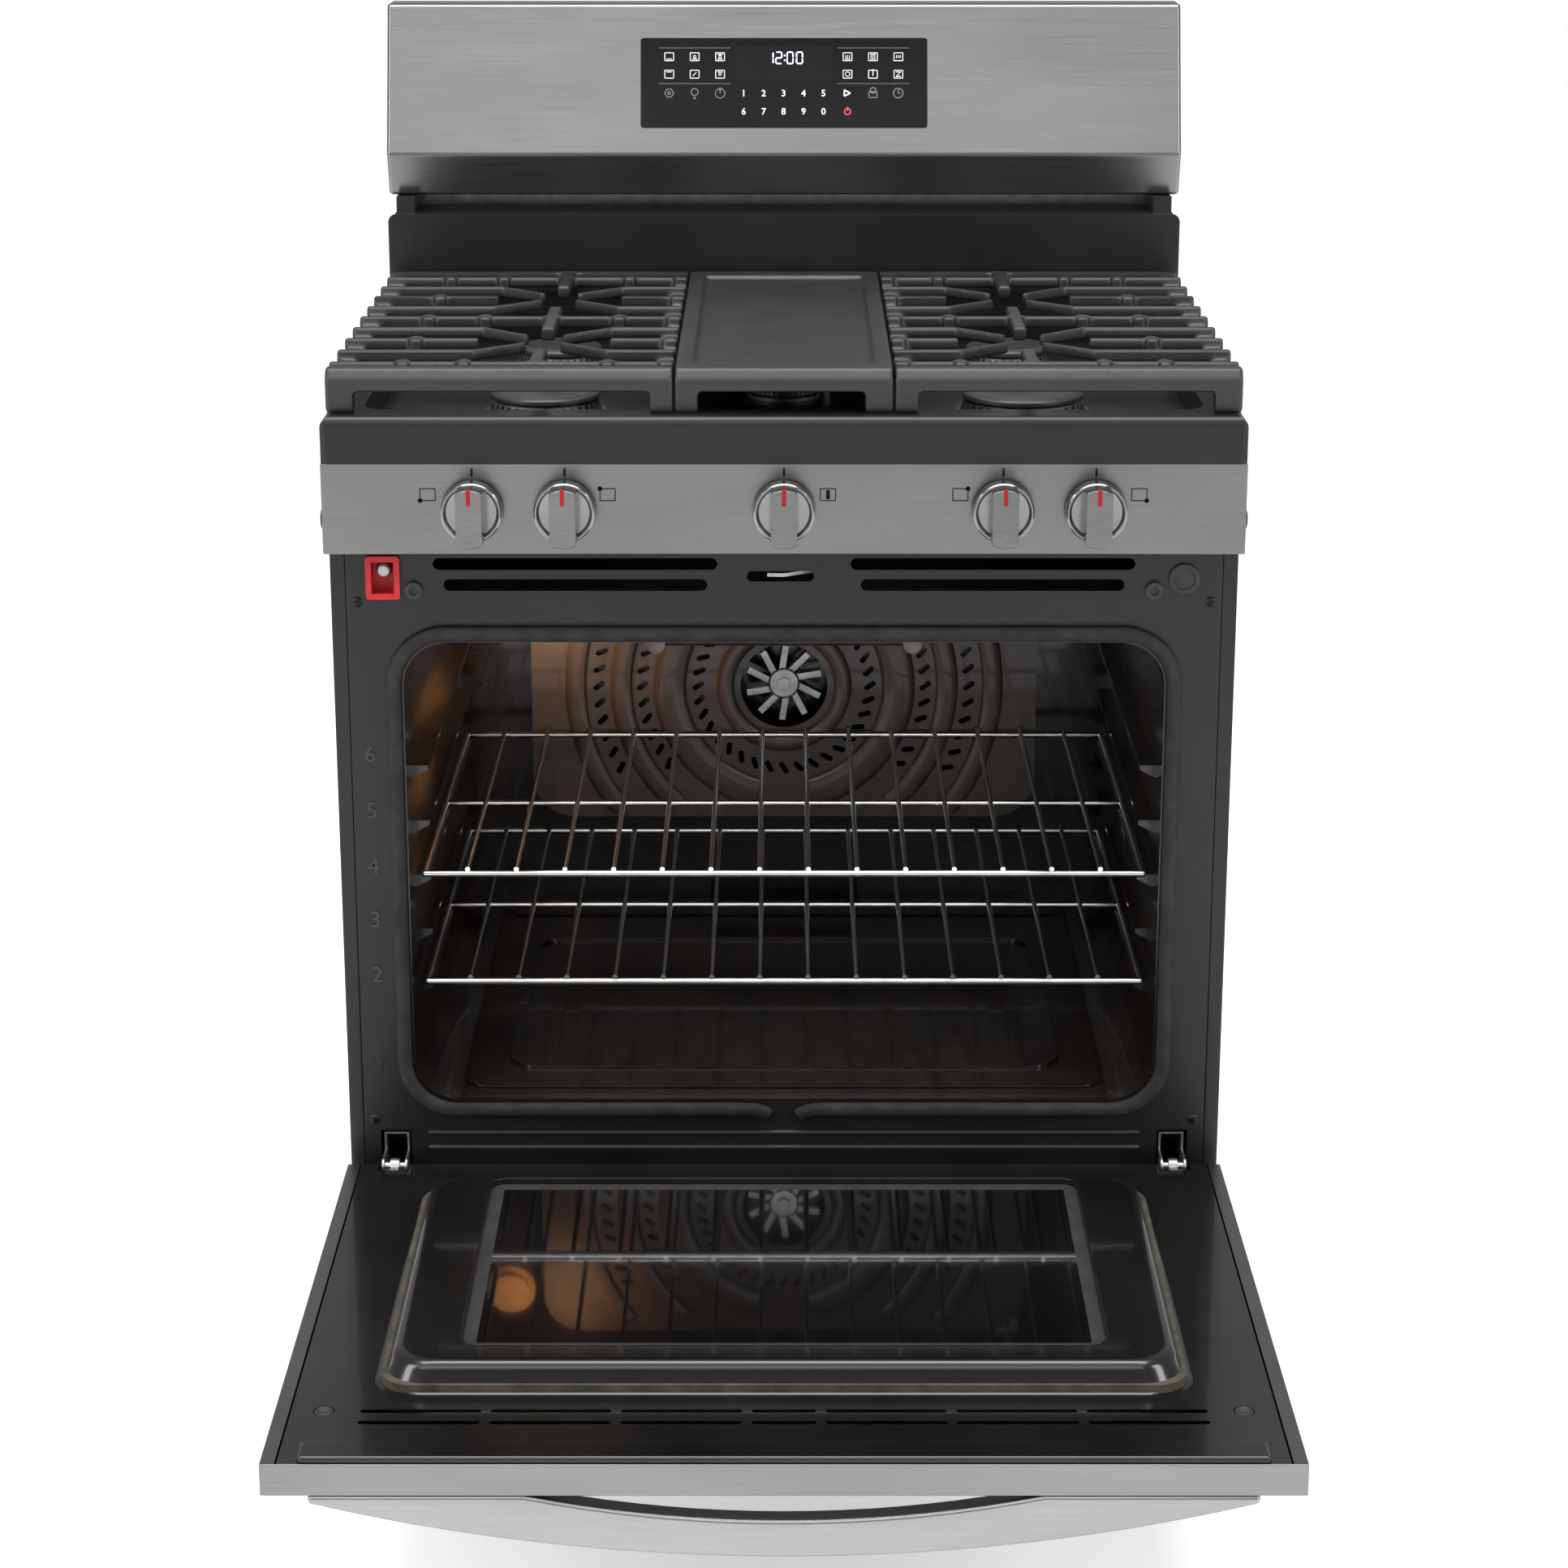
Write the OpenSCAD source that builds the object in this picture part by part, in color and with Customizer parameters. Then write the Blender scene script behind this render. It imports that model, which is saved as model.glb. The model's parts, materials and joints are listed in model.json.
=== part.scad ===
// Freestanding gas range with a convection oven, standing with its oven door open.
// Millimetres. +Z up, +Y to the back, origin on the floor under the middle of the part's box.
// Lengths along Y are first counted from the control panel's face, then moved by place().

/* [Body] */
// Width across the cooktop lip and the door
range_w = 759; // [690:1:915]
// Height of the cooktop lip above the floor
cooktop_h = 914; // [860:1:1100]
// Height of the console's top edge above the cooktop
console_h = 282; // [240:1:340]
// Depth from the control panel's face to the rear cover
body_d = 640; // [600:1:770]
// Thickness of the body's sheet metal
sheet = 1.2; // [0.8:0.1:2]
// Gap under the base, filled by the levelling feet
foot_h = 27; // [20:1:45]
// Distance of the front frame behind the control panel's face
frame_set = 31; // [28:1:40]
// Width of the side panels' front and rear flanges
flange_w = 12.5; // [10:0.5:20]

/* [Cooktop] */
// Height of the cooktop's lip
lip_h = 39; // [32:1:50]
// Depth of the burner well under the lip
well_h = 29; // [20:1:34]
// Width of the flat rim around the well
rim_w = 32; // [28:1:45]
// Distance of a burner's centre from its grate's inner edge
burner_in = 114; // [90:1:125]
// Radius of the front left burner
burner_r = 53; // [40:1:60]
// Radius of the front right burner
power_burner_r = 58; // [45:1:65]
// Radius of the two rear burners
rear_burner_r = 44; // [35:1:55]
// Width of the middle griddle
griddle_w = 179; // [150:1:215]
// Gap between the griddle and each grate
grate_gap = 1.5; // [1:0.5:4]
// Height of the grates' top above the cooktop lip
grate_h = 36.5; // [30:0.5:50]
// Depth in Z of a grate's cross bars
bar_h = 10; // [8:1:16]
// Width of a grate's cross bars
bar_w = 9; // [6:0.5:14]

/* [Controls] */
// Height of the control panel
panel_h = 76; // [70:1:95]
// Distance of the outer knobs from the middle
knob_outer = 255.5; // [230:0.5:300]
// Distance of the inner knobs from the middle
knob_inner = 179.5; // [150:0.5:200]
// Radius of a knob's skirt
knob_r = 25.8; // [20:0.1:30]
// Depth of a knob from back to front
knob_d = 35; // [25:1:42]
// Width of a knob's grip bar
grip_w = 21.5; // [14:0.5:26]
// Radius of a valve stem
stem_r = 4; // [3:0.5:5]
// Travel of a knob when it is pushed in
push = 3; // [2:0.5:3.5]
// Width of the console's glass
display_w = 274; // [200:1:400]
// Height of the console's glass along its slope
display_h = 86.5; // [60:0.5:110]

/* [Oven] */
// Width of the oven cavity
oven_w = 640; // [520:1:660]
// Height of the oven floor above the floor
oven_floor = 305; // [300:1:350]
// Height of the vented strip between the cavity and the control panel
vent_strip = 83; // [80:1:100]
// Space between the cavity's back wall and the rear cover
rear_space = 100; // [90:1:140]
// Corner radius of the cavity
oven_r = 38; // [20:1:45]
// Width of the door gasket
gasket_w = 13; // [10:0.5:16]
// Distance of the fan's axis below the cavity's top
fan_drop = 169; // [150:1:190]
// Radius of the convection fan
fan_r = 39; // [30:1:42]
// Height of the lowest rack position above the oven floor
rack_low = 10; // [8:1:14]
// Height of the second rack position above the oven floor
rack_second = 95; // [80:1:105]
// Pitch of the rack positions above the second
rack_pitch = 49.5; // [45:0.5:60]
// Radius of a rack's frame wire
rack_wire = 3; // [2.5:0.1:3.5]
// Gap between a rack and the cavity's side walls
rack_gap = 6; // [4:0.5:8]
// How far the ladders stand out from the side walls
ladder_w = 14; // [12:1:18]

/* [Door] */
// Height of the hinge pins above the floor
hinge_z = 248; // [245:1:260]
// Distance of the hinge pins behind the control panel's face
hinge_y = 17; // [15:1:20]
// Height of the door's inner flange over the hinge pins
door_in = 4.2; // [3:0.1:5]
// Depth of the door's outer face under the hinge pins
door_out = 21; // [20.5:0.5:24]
// How far the door's inner panel stands into the cavity
plug_h = 22.8; // [15:0.1:24]
// Distance of the oven window's sides from the cavity's side walls
window_side = 73; // [60:1:140]
// Length of the oven window along the door
window_l = 310; // [200:1:320]
// Half length of the handle
handle_x = 345; // [250:1:355]
// Distance of the handle's middle from the door's face
handle_out = 50; // [40:1:60]
// Depth of the handle bar at its middle
handle_t = 30; // [20:1:34]
// Width of the handle bar along the door
handle_w = 28; // [20:1:36]

/* [Drawer] */
// Height of the storage drawer's front above the floor
drawer_z = 65; // [55:1:80]
// Space between the drawer's front and the open door's hinge pins
drawer_drop = 26; // [25:1:40]

/* [Hidden] */

$fn = 48;
slip = 0.3;                 // gap between pieces that only stand next to each other
fit = 0.06;                 // radial clearance of a running fit
far = 2000;                 // longer than any side of the part

// Body
half_w = range_w / 2;
skin_x = half_w - 1;
frame_x = skin_x - flange_w - slip;
panel_z1 = cooktop_h - lip_h;
panel_z0 = panel_z1 - panel_h;
top_z = cooktop_h + console_h;
rear_y = body_d - sheet;
base_h = 25;
base_w = 40;
base_y0 = frame_set + 14;
base_y1 = body_d - 20;
base_x = skin_x - sheet - slip;
foot_r = 17;
foot_stem_r = 5;
service_z = 130;            // lower edge of the rear cover, over the gas inlet
gland_r = 11;

// Oven
cavity_x = oven_w / 2;
cavity_z0 = oven_floor;
cavity_z1 = panel_z0 - vent_strip;
cavity_y1 = body_d - rear_space;
cavity_w = cavity_z1 - cavity_z0;
floor_x = cavity_x - oven_r - 1;
mouth_gap = 1.5;            // from the cavity's inner face to the front frame's edge
fan_z = cavity_z1 - fan_drop;
fan_shaft_r = 4;
baffle_y = cavity_y1 - 40;
baffle_x = cavity_x - 73;
slot_rows = [[0.56 * baffle_x, 7], [0.733 * baffle_x, 5.5]];    // radius and angle between slots
baffle_top = cavity_z1 - 31;
baffle_low = fan_z - 134;
fan_hole_r = fan_r + 3.5;
hump_h = 37;
pocket_x = 73;
lamp_x = -(cavity_x - 36);
lamp_z = cavity_z1 - 61;
sensor_x = 232;
sensor_z = cavity_z1 - 17;
broil_z = cavity_z1 - 18;
broil_r = 8;
blanket_t = 24;
gasket_t = 9;
rack_zs = [for (z = concat([rack_low], [for (i = [0:4]) rack_second + i * rack_pitch]))
    if (z < cavity_w - 60) cavity_z0 + z];
rack_x = cavity_x - rack_gap - rack_wire;
rack_y0 = frame_set + 38;
rack_y1 = baffle_y - 6;
rack_rod = 2.2;

// Controls
knob_xs = [-knob_outer, -knob_inner, 0, knob_inner, knob_outer];
knob_z = panel_z0 + panel_h / 2;
knob_back = push + 1;       // a pushed knob stops 1 mm off the panel
valve_y0 = frame_set + 3;
manifold_y = valve_y0 + 41;
manifold_r = 9;
valve_y1 = manifold_y - manifold_r - 0.2;
valve_half = 13;
supply_x = -(skin_x - 17);
supply_r = 6;
inlet_r = 9;
inlet_dx = 10;
inlet_drop = 22;

// Cooktop
deck_y1 = rear_y - slip;
deck_t = 1.5;
well_z = cooktop_h - well_h;
well_y1 = body_d - 132;
grate_x0 = griddle_w / 2 + grate_gap;
grate_x1 = half_w - 4;
grate_y0 = 18;
grate_y1 = well_y1 + 20;
grate_z = cooktop_h + grate_h;
rail_z0 = grate_z - 19;
row_y0 = grate_y0 + 32;
row_pitch = (grate_y1 - 36 - row_y0) / 8;
burner_x = grate_x0 + burner_in;
front_burner_y = row_y0 + 2 * row_pitch;
rear_burner_y = row_y0 + 6 * row_pitch;
middle_burner_y = (front_burner_y + rear_burner_y) / 2;
// Each round burner: x, y and radius
burners = [
    [-burner_x, front_burner_y, burner_r], [burner_x, front_burner_y, power_burner_r],
    [-burner_x, rear_burner_y, rear_burner_r], [burner_x, rear_burner_y, rear_burner_r]
];
oval_half = 60;
oval_r = 32;
throat_r = 24;

// Console
face_foot = [body_d - 84, top_z - 138];
face_head = [body_d - 39, top_z];
face_tilt = atan2(face_head[0] - face_foot[0], face_head[1] - face_foot[1]);
chin_foot = [body_d - 71, top_z - 178];
splash_y = body_d - 89;
splash_z1 = chin_foot[1] - 16;
display_up = 69;            // middle of the glass along the slope, from the fold

// Door, in its own axes: x, -(distance from the hinge pins) and height over them
door_u0 = 5;
door_u1 = panel_z0 - 4 - hinge_z;
door_x = half_w - 0.5;
liner_x = door_x - 12.5;
liner_t = 1;
plug_x = cavity_x - 1;
plug_u0 = cavity_z0 + 1 - hinge_z;
plug_u1 = cavity_z1 - 16 - hinge_z;
plug_slope = 9;
plug_top = door_in + plug_h;
window_u0 = plug_u0 + 31;
window_w = oven_w - 2 * window_side;
glass_top = plug_top - 5;
glass_t = 4;
pin_r = 4;
arm_w = 8;
hinge_x = frame_x - 27.3;
knuckle_r = 8;
door_lip_h = 5.3;
vent_us = [door_u1 - 83, door_u1 - 65];

// What sits in the front frame
frame_z0 = hinge_z - drawer_drop + 3;
switch_x = -(frame_x - 31.3);
switch_z = panel_z0 - 26.7;
latch_x = 30;
latch_y = frame_set + 29;
latch_z = panel_z0 - 26;
latch_pin_r = 3;
hinge_slot_z = [hinge_z - 12, hinge_z + 28];

// Drawer
drawer_top = hinge_z - drawer_drop;
drawer_x = skin_x - 0.5;
box_x = frame_x - 20.7;
box_y1 = cavity_y1 + 20;
runner_x = frame_x - 1.2;
runner_z = drawer_z + 85;

// ---------------------------------------------------------------- helpers

// Places measured from a middle or an edge
function at(middle, steps) = [for (step = steps) middle + step];

module place() {
    translate([0, (door_u1 - hinge_y - body_d) / 2, 0]) children();
}

module slab(x, y, z) {
    translate([min(x), min(y), min(z)])
        cube([max(x) - min(x), max(y) - min(y), max(z) - min(z)]);
}

module flat(x, y) {
    translate([min(x), min(y)]) square([max(x) - min(x), max(y) - min(y)]);
}

// A drawing of X and Y, standing from z[0] to z[1]
module lay_xy(z) {
    translate([0, 0, z[0]]) linear_extrude(z[1] - z[0]) children();
}

// A drawing of X and Z, reaching from y[0] to y[1]
module lay_xz(y) {
    translate([0, y[1], 0]) rotate([90, 0, 0]) linear_extrude(y[1] - y[0]) children();
}

// A drawing of Y and Z, reaching from x[0] to x[1]
module lay_yz(x) {
    translate([x[0], 0, 0]) rotate([90, 0, 90]) linear_extrude(x[1] - x[0]) children();
}

module rod_x(r, x, y, z) {
    translate([min(x), y, z]) rotate([0, 90, 0]) cylinder(r = r, h = max(x) - min(x));
}

module rod_y(r, x, y, z) {
    translate([x, max(y), z]) rotate([90, 0, 0]) cylinder(r = r, h = max(y) - min(y));
}

module rod_z(r, x, y, z) {
    translate([x, y, min(z)]) cylinder(r = r, h = max(z) - min(z));
}

module round_rect(x, y, r) {
    flat([x[0] + r, x[1] - r], y);
    flat(x, [y[0] + r, y[1] - r]);
    for (cx = [x[0] + r, x[1] - r], cy = [y[0] + r, y[1] - r])
        translate([cx, cy]) circle(r = r);
}

module slot_xz(x, z, h) {
    round_rect(x, [z - h / 2, z + h / 2], h / 2 - 0.01);
}

module both_sides() {
    for (s = [-1, 1]) scale_side(s) children();
}

module scale_side(s) {
    if (s < 0) mirror([1, 0, 0]) children();
    else children();
}

// ---------------------------------------------------------------- body

module at_feet() {
    for (x = [-base_x + base_w / 2, base_x - base_w / 2], y = [base_y0 + base_w / 2, base_y1 - base_w / 2])
        translate([x, y, 0]) children();
}

module base_frame() {
    color("#3a3a3a") place() difference() {
        union() {
            difference() {
                slab([-base_x, base_x], [base_y0, base_y1], [foot_h, foot_h + base_h]);
                slab([-base_x + base_w, base_x - base_w], [base_y0 + base_w, base_y1 - base_w], [0, far]);
                difference() {
                    slab([-base_x + 2, base_x - 2], [base_y0 + 2, base_y1 - 2], [0, foot_h + base_h - 2]);
                    slab([-base_x + base_w - 2, base_x - base_w + 2],
                        [base_y0 + base_w - 2, base_y1 - base_w + 2], [0, far]);
                }
            }
            at_feet() rod_z(foot_stem_r + 4, 0, 0, [foot_h, foot_h + base_h]);
        }
        at_feet() rod_z(foot_stem_r + fit, 0, 0, [0, far]);
    }
}

module leveling_feet() {
    color("#222222") place() at_feet() {
        rod_z(foot_r, 0, 0, [0, 5]);
        translate([0, 0, 5]) cylinder(r1 = foot_r, r2 = 11, h = 5);
        translate([0, 0, 10]) cylinder(r = 10, h = 7, $fn = 6);
        rod_z(foot_stem_r, 0, 0, [17, foot_h + base_h]);
    }
}

module side_panel() {
    color("#2b2b2b") place() {
        slab([skin_x - sheet, skin_x], [frame_set, rear_y], [foot_h, panel_z1]);
        slab([skin_x - flange_w, skin_x], [frame_set, frame_set + sheet], [foot_h, panel_z1]);
        slab([skin_x - flange_w, skin_x], [rear_y - sheet, rear_y], [foot_h, panel_z1]);
    }
}

module rear_cover() {
    color("#8e8e8e") place() difference() {
        union() {
            slab([-skin_x, skin_x], [rear_y, body_d], [service_z, chin_foot[1]]);
            rod_y(gland_r + 4, skin_x - 70, [rear_y - 6, body_d], service_z + 60);
        }
        rod_y(gland_r, skin_x - 70, [0, far], service_z + 60);
        lay_xz([rear_y - 1, body_d + 1]) for (i = [0:7], s = [-1, 1])
            slot_xz([s * 160 - 90, s * 160 + 90], cooktop_h - 60 - i * 18, 7);
    }
}

module mouth(grow) {
    round_rect([-cavity_x - grow, cavity_x + grow], [cavity_z0 - grow, cavity_z1 + grow], oven_r + grow);
}

module front_frame() {
    color("#3b3b3b") place() {
        difference() {
            lay_xz([frame_set, frame_set + sheet]) difference() {
                flat([-frame_x, frame_x], [frame_z0, panel_z0]);
                mouth(mouth_gap);
                for (s = [-1, 1]) {
                    slot_xz(at(s * 174, [-118.5, 118.5]), panel_z0 - 15.5, 10);
                    slot_xz(at(s * 174, [-110, 110]), panel_z0 - 33.5, 10);
                    translate([s * hinge_x, 0]) flat([-13.3, 13.3], hinge_slot_z);
                }
                slot_xz([-31, 25], latch_z, 9);
                translate([switch_x, switch_z]) flat([-12.3, 12.3], [-16.3, 16.3]);
            }
        }
        // Two rolled beads stiffen the sheet under the oven's mouth.
        for (z = [hinge_z + 11, hinge_z + 25])
            intersection() {
                rod_x(3, [-310, 310], frame_set + 1, z);
                slab([-far, far], [0, frame_set + sheet], [0, far]);
            }
        slab([-frame_x, frame_x], [frame_set + sheet, frame_set + 20], [panel_z0 - sheet, panel_z0]);
        slab([-frame_x, frame_x], [frame_set + sheet, frame_set + 12], [frame_z0, frame_z0 + sheet]);
        // The door latch turns on a pin under a tab.
        slab(at(latch_x, [-10, 10]), [frame_set + 19, latch_y + 9], [panel_z0 - sheet, panel_z0]);
        rod_z(latch_pin_r, latch_x, latch_y, [latch_z - 6, panel_z0 - sheet / 2]);
    }
}

module frame_screws() {
    color("#1f1f1f") place() {
        for (s = [-1, 1]) {
            rod_y(4.5, s * (frame_x - 9), [frame_set - 2, frame_set], panel_z0 - 48);
            rod_y(4.5, s * (frame_x - 9), [frame_set - 2, frame_set], hinge_z + 38);
            rod_x(9, at(s * half_w, [0, s * 2.5]), 15, panel_z0 + 27);
        }
    }
}

module frame_bumpers() {
    color("#161616") place() {
        for (s = [-1, 1]) difference() {
            rod_y(7.5, s * 309, [frame_set - 4, frame_set], panel_z0 - 38);
            rod_y(3.5, s * 309, [frame_set - 5, frame_set - 2], panel_z0 - 38);
        }
        difference() {
            rod_y(13, frame_x - 32, [frame_set - 3, frame_set], panel_z0 - 28);
            rod_y(9, frame_x - 32, [frame_set - 4, frame_set - 1.5], panel_z0 - 28);
        }
    }
}

module switch_housing() {
    color("#b3262b") place() difference() {
        union() {
            lay_xz([frame_set - 4, frame_set]) translate([switch_x, switch_z])
                round_rect([-14.3, 14.3], [-18.5, 18.5], 3);
            slab(at(switch_x, [-12, 12]), [frame_set - 1, frame_set + 15], at(switch_z, [-16, 16]));
        }
        slab(at(switch_x, [-9.5, 9.5]), [0, frame_set + 10], at(switch_z, [-13.5, 13.5]));
        rod_y(4.5 + fit, switch_x + 1, [0, far], switch_z + 6);
    }
}

module switch_plunger() {
    color("#b8b8b8") place() {
        rod_y(4.5, switch_x + 1, [frame_set - 3.5, frame_set + 12], switch_z + 6);
        translate([switch_x + 1, frame_set + 5, switch_z + 6]) rotate([90, 0, 0])
            cylinder(r1 = 6.5, r2 = 5, h = 4);
    }
}

module door_latch() {
    color("#6f6f6f") place() translate([latch_x, latch_y, 0]) lay_xy([latch_z - 1.5, latch_z + 1.5]) {
        difference() {
            union() {
                circle(r = 8);
                polygon([[0, 5], [4, -5], [-30, -25], [-44, -24], [-44, -17], [-33, -17]]);
            }
            circle(r = latch_pin_r + fit);
        }
    }
}

module hinge_receivers() {
    color("#8a8a8a") place() both_sides() {
        for (x = [hinge_x - 11, hinge_x + 9]) lay_yz([x, x + 2]) {
            translate([hinge_y, hinge_z]) circle(r = knuckle_r);
            flat([hinge_y, frame_set + 70], at(hinge_z, [-knuckle_r, knuckle_r]));
            flat([frame_set + 5, frame_set + 70], at(hinge_z, [-knuckle_r, 24]));
        }
        slab(at(hinge_x, [-11, 11]), [frame_set + 5, frame_set + 70], at(hinge_z, [22, 24]));
        slab(at(hinge_x, [-11, 11]), [frame_set + 68, frame_set + 70], at(hinge_z, [-knuckle_r, 24]));
        rod_x(pin_r, at(hinge_x, [-11, 11]), hinge_y, hinge_z);
    }
}

// ---------------------------------------------------------------- oven

module oven_cavity() {
    color("#1d1a18") place() {
        difference() {
            lay_xz([frame_set, cavity_y1 + sheet]) mouth(sheet);
            lay_xz([0, cavity_y1]) mouth(0);
            rod_y(fan_shaft_r + 2, 0, [0, far], fan_z);
            rod_y(21, lamp_x, [0, far], lamp_z);
            rod_y(4, sensor_x, [0, far], sensor_z);
            rod_y(broil_r + 1, 0, [0, far], broil_z);
        }
        // The side ladders carry a rack at each height.
        both_sides() intersection() {
            lay_xz([frame_set, baffle_y]) mouth(sheet / 2);
            for (z = rack_zs) lay_xz([frame_set + 44, baffle_y - 4]) polygon([
                [cavity_x + sheet, z - rack_wire - 0.2], [cavity_x - ladder_w, z - rack_wire - 0.2],
                [cavity_x - ladder_w, z - rack_wire - 4.2], [cavity_x + sheet, z - rack_wire - 12.2]
            ]);
        }
        // A step across the back holds a pocket for the rack's stop.
        difference() {
            union() {
                slab([-cavity_x + 40, cavity_x - 40], [baffle_y + 4, baffle_y + 4 + sheet],
                    at(cavity_z0, [-sheet / 2, hump_h]));
                slab([-cavity_x + 40, cavity_x - 40], [baffle_y + 4, cavity_y1 + sheet / 2],
                    at(cavity_z0, [hump_h - sheet, hump_h]));
            }
            slab([-pocket_x, pocket_x], [0, baffle_y + 20], at(cavity_z0, [8, far]));
        }
    }
}

module oven_floor_panel() {
    color("#1a1817") place() difference() {
        union() {
            lay_xy(at(cavity_z0, [0.5, 0.5 + sheet]))
                round_rect([-floor_x, floor_x], [frame_set + 25, baffle_y - 2], 24);
            lay_xy(at(cavity_z0, [0.5, 4.5])) difference() {
                round_rect([-cavity_x + 75, cavity_x - 75], [frame_set + 65, baffle_y - 60], 30);
                round_rect([-cavity_x + 83, cavity_x - 83], [frame_set + 73, baffle_y - 68], 24);
            }
        }
        both_sides() lay_xy([cavity_z0, cavity_z0 + 9])
            round_rect(at(cavity_x - 123, [-7, 7]), [frame_set + 100, baffle_y - 180], 6.9);
    }
}

module oven_gasket() {
    color("#2a2a2a") place() difference() {
        lay_xz([frame_set - gasket_t, frame_set]) difference() {
            mouth(mouth_gap + gasket_w);
            mouth(mouth_gap);
        }
        slab([-14, 14], [0, far], [0, cavity_z0]);
    }
}

module slanted_slots(r, angles) {
    for (a = angles) rotate(a) translate([r, 0]) rotate(35)
        round_rect([-6.5, 6.5], [-2.7, 2.7], 2.6);
}

module fan_baffle() {
    color("#5b5753") place() {
        lay_xz([baffle_y, baffle_y + sheet]) difference() {
            round_rect([-baffle_x, baffle_x], [baffle_low, baffle_top], 40);
            translate([0, fan_z]) {
                circle(r = fan_hole_r);
                slanted_slots(84, [for (i = [0:35]) i * 10]);
                for (row = slot_rows, i = [-5:5], side = [0, 180])
                    slanted_slots(row[0], [side + i * row[1]]);
            }
        }
        lay_xz([baffle_y + sheet, cavity_y1]) difference() {
            round_rect([-baffle_x, baffle_x], [baffle_low, baffle_top], 40);
            round_rect([-baffle_x + sheet, baffle_x - sheet], [baffle_low + sheet, baffle_top - sheet],
                40 - sheet);
        }
    }
}

module convection_fan() {
    color("#8d8d8d") place() difference() {
        union() {
            rod_y(12, 0, [baffle_y + 10, baffle_y + 26], fan_z);
            rod_y(fan_r - 1, 0, [baffle_y + 24.5, baffle_y + 26], fan_z);
            translate([0, baffle_y + 26, fan_z]) rotate([90, 0, 0]) for (i = [0:9])
                rotate(i * 36) translate([10, -1, 0]) rotate(18) cube([fan_r - 13, 1.6, 20]);
            translate([0, baffle_y + 10, fan_z]) rotate([90, 0, 0]) cylinder(r = 7, h = 6, $fn = 6);
        }
        rod_y(fan_shaft_r + fit, 0, [baffle_y + 5, far], fan_z);
    }
}

module fan_motor() {
    color("#707070") place() {
        rod_y(42, 0, [cavity_y1 + 12, cavity_y1 + 50], fan_z);
        rod_y(fan_shaft_r, 0, [baffle_y + 6, cavity_y1 + 12], fan_z);
        for (x = [-30, 30]) slab(at(x, [-5, 5]), [cavity_y1 + sheet, cavity_y1 + 13], at(fan_z, [-5, 5]));
    }
}

module oven_lamp() {
    color("#fff1cc") place() {
        rod_y(20, lamp_x, [cavity_y1 - 16, cavity_y1 + 30], lamp_z);
        rod_y(26, lamp_x, [cavity_y1 - 6, cavity_y1], lamp_z);
    }
}

module broil_burner() {
    color("#6b6460") place() {
        both_sides() rod_y(broil_r, 110, [frame_set + 60, baffle_y - 40], broil_z);
        for (y = [frame_set + 80, baffle_y - 60]) rod_x(broil_r - 2, [-110, 110], y, broil_z);
        rod_y(broil_r - 1, 0, [baffle_y - 60, cavity_y1 + 30], broil_z);
    }
}

module bake_burner() {
    color("#6b6460") place() {
        rod_y(10, 0, [frame_set + 40, cavity_y1 - 20], cavity_z0 - 20);
        for (y = [frame_set + 130, cavity_y1 - 140]) rod_x(7, [-180, 180], y, cavity_z0 - 20);
    }
}

module temperature_sensor() {
    color("#a8a8a8") place() {
        rod_y(2.5, sensor_x, [cavity_y1 - 110, cavity_y1 + 20], sensor_z);
        slab(at(sensor_x, [-12, 12]), [cavity_y1 - 1.5, cavity_y1], at(sensor_z, [-8, 8]));
    }
}

module insulation_blanket() {
    color("#b9a26a") place() difference() {
        lay_xz([frame_set + 22, cavity_y1]) difference() {
            mouth(blanket_t);
            mouth(sheet + slip);
        }
        slab([-far, far], [0, far], [0, cavity_z0 + oven_r]);
    }
}

module rack(z) {
    color("#c9c9c9") place() {
        for (x = [-rack_x, rack_x]) {
            rod_y(rack_wire, x, [rack_y0, rack_y1], z);
            for (y = [rack_y0, rack_y1]) translate([x, y, z]) sphere(r = rack_wire);
        }
        for (y = [rack_y0, rack_y1]) rod_x(rack_wire, [-rack_x, rack_x], y, z);
        rod_x(rack_wire - 0.5, [-rack_x, rack_x], (rack_y0 + rack_y1) / 2 - 10, z);
        for (i = [0:13]) rod_y(rack_rod, (i - 6.5) * (rack_x - 8) / 7.2, [rack_y0 - 2, rack_y1 + 2],
            z + rack_wire + rack_rod - 0.8);
    }
}

// ---------------------------------------------------------------- gas

module gas_manifold() {
    color("#a08a4a") place() {
        rod_x(manifold_r, [supply_x, knob_outer + 40], manifold_y, knob_z);
        rod_y(supply_r, supply_x, [manifold_y, body_d - 40], knob_z);
        rod_z(supply_r, supply_x, body_d - 40, [service_z, knob_z]);
        translate([supply_x, body_d - 40, knob_z]) sphere(r = supply_r);
        translate([supply_x, manifold_y, knob_z]) sphere(r = manifold_r);
    }
}

module gas_regulator() {
    color("#8f8f8f") place() difference() {
        union() {
            slab(at(supply_x, [-12, 28]), [body_d - 58, body_d - 10], [service_z - 45, service_z]);
            rod_y(13, supply_x + inlet_dx, [body_d - 12, body_d - 1], service_z - inlet_drop);
            rod_x(16, at(supply_x, [27, 40]), body_d - 34, service_z - inlet_drop);
        }
        rod_y(inlet_r, supply_x + inlet_dx, [body_d - 40, far], service_z - inlet_drop);
    }
}

module gas_valves() {
    color("#a08a4a") place() for (x = knob_xs) difference() {
        slab(at(x, [-valve_half, valve_half]), [valve_y0, valve_y1], at(knob_z, [-valve_half, valve_half]));
        rod_y(stem_r + fit, x, [0, valve_y0 + 24], knob_z);
    }
}

module valve_stem(x) {
    color("#bdbdbd") place() rod_y(stem_r, x, [-knob_back - 20, valve_y0 + 20], knob_z);
}

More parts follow.
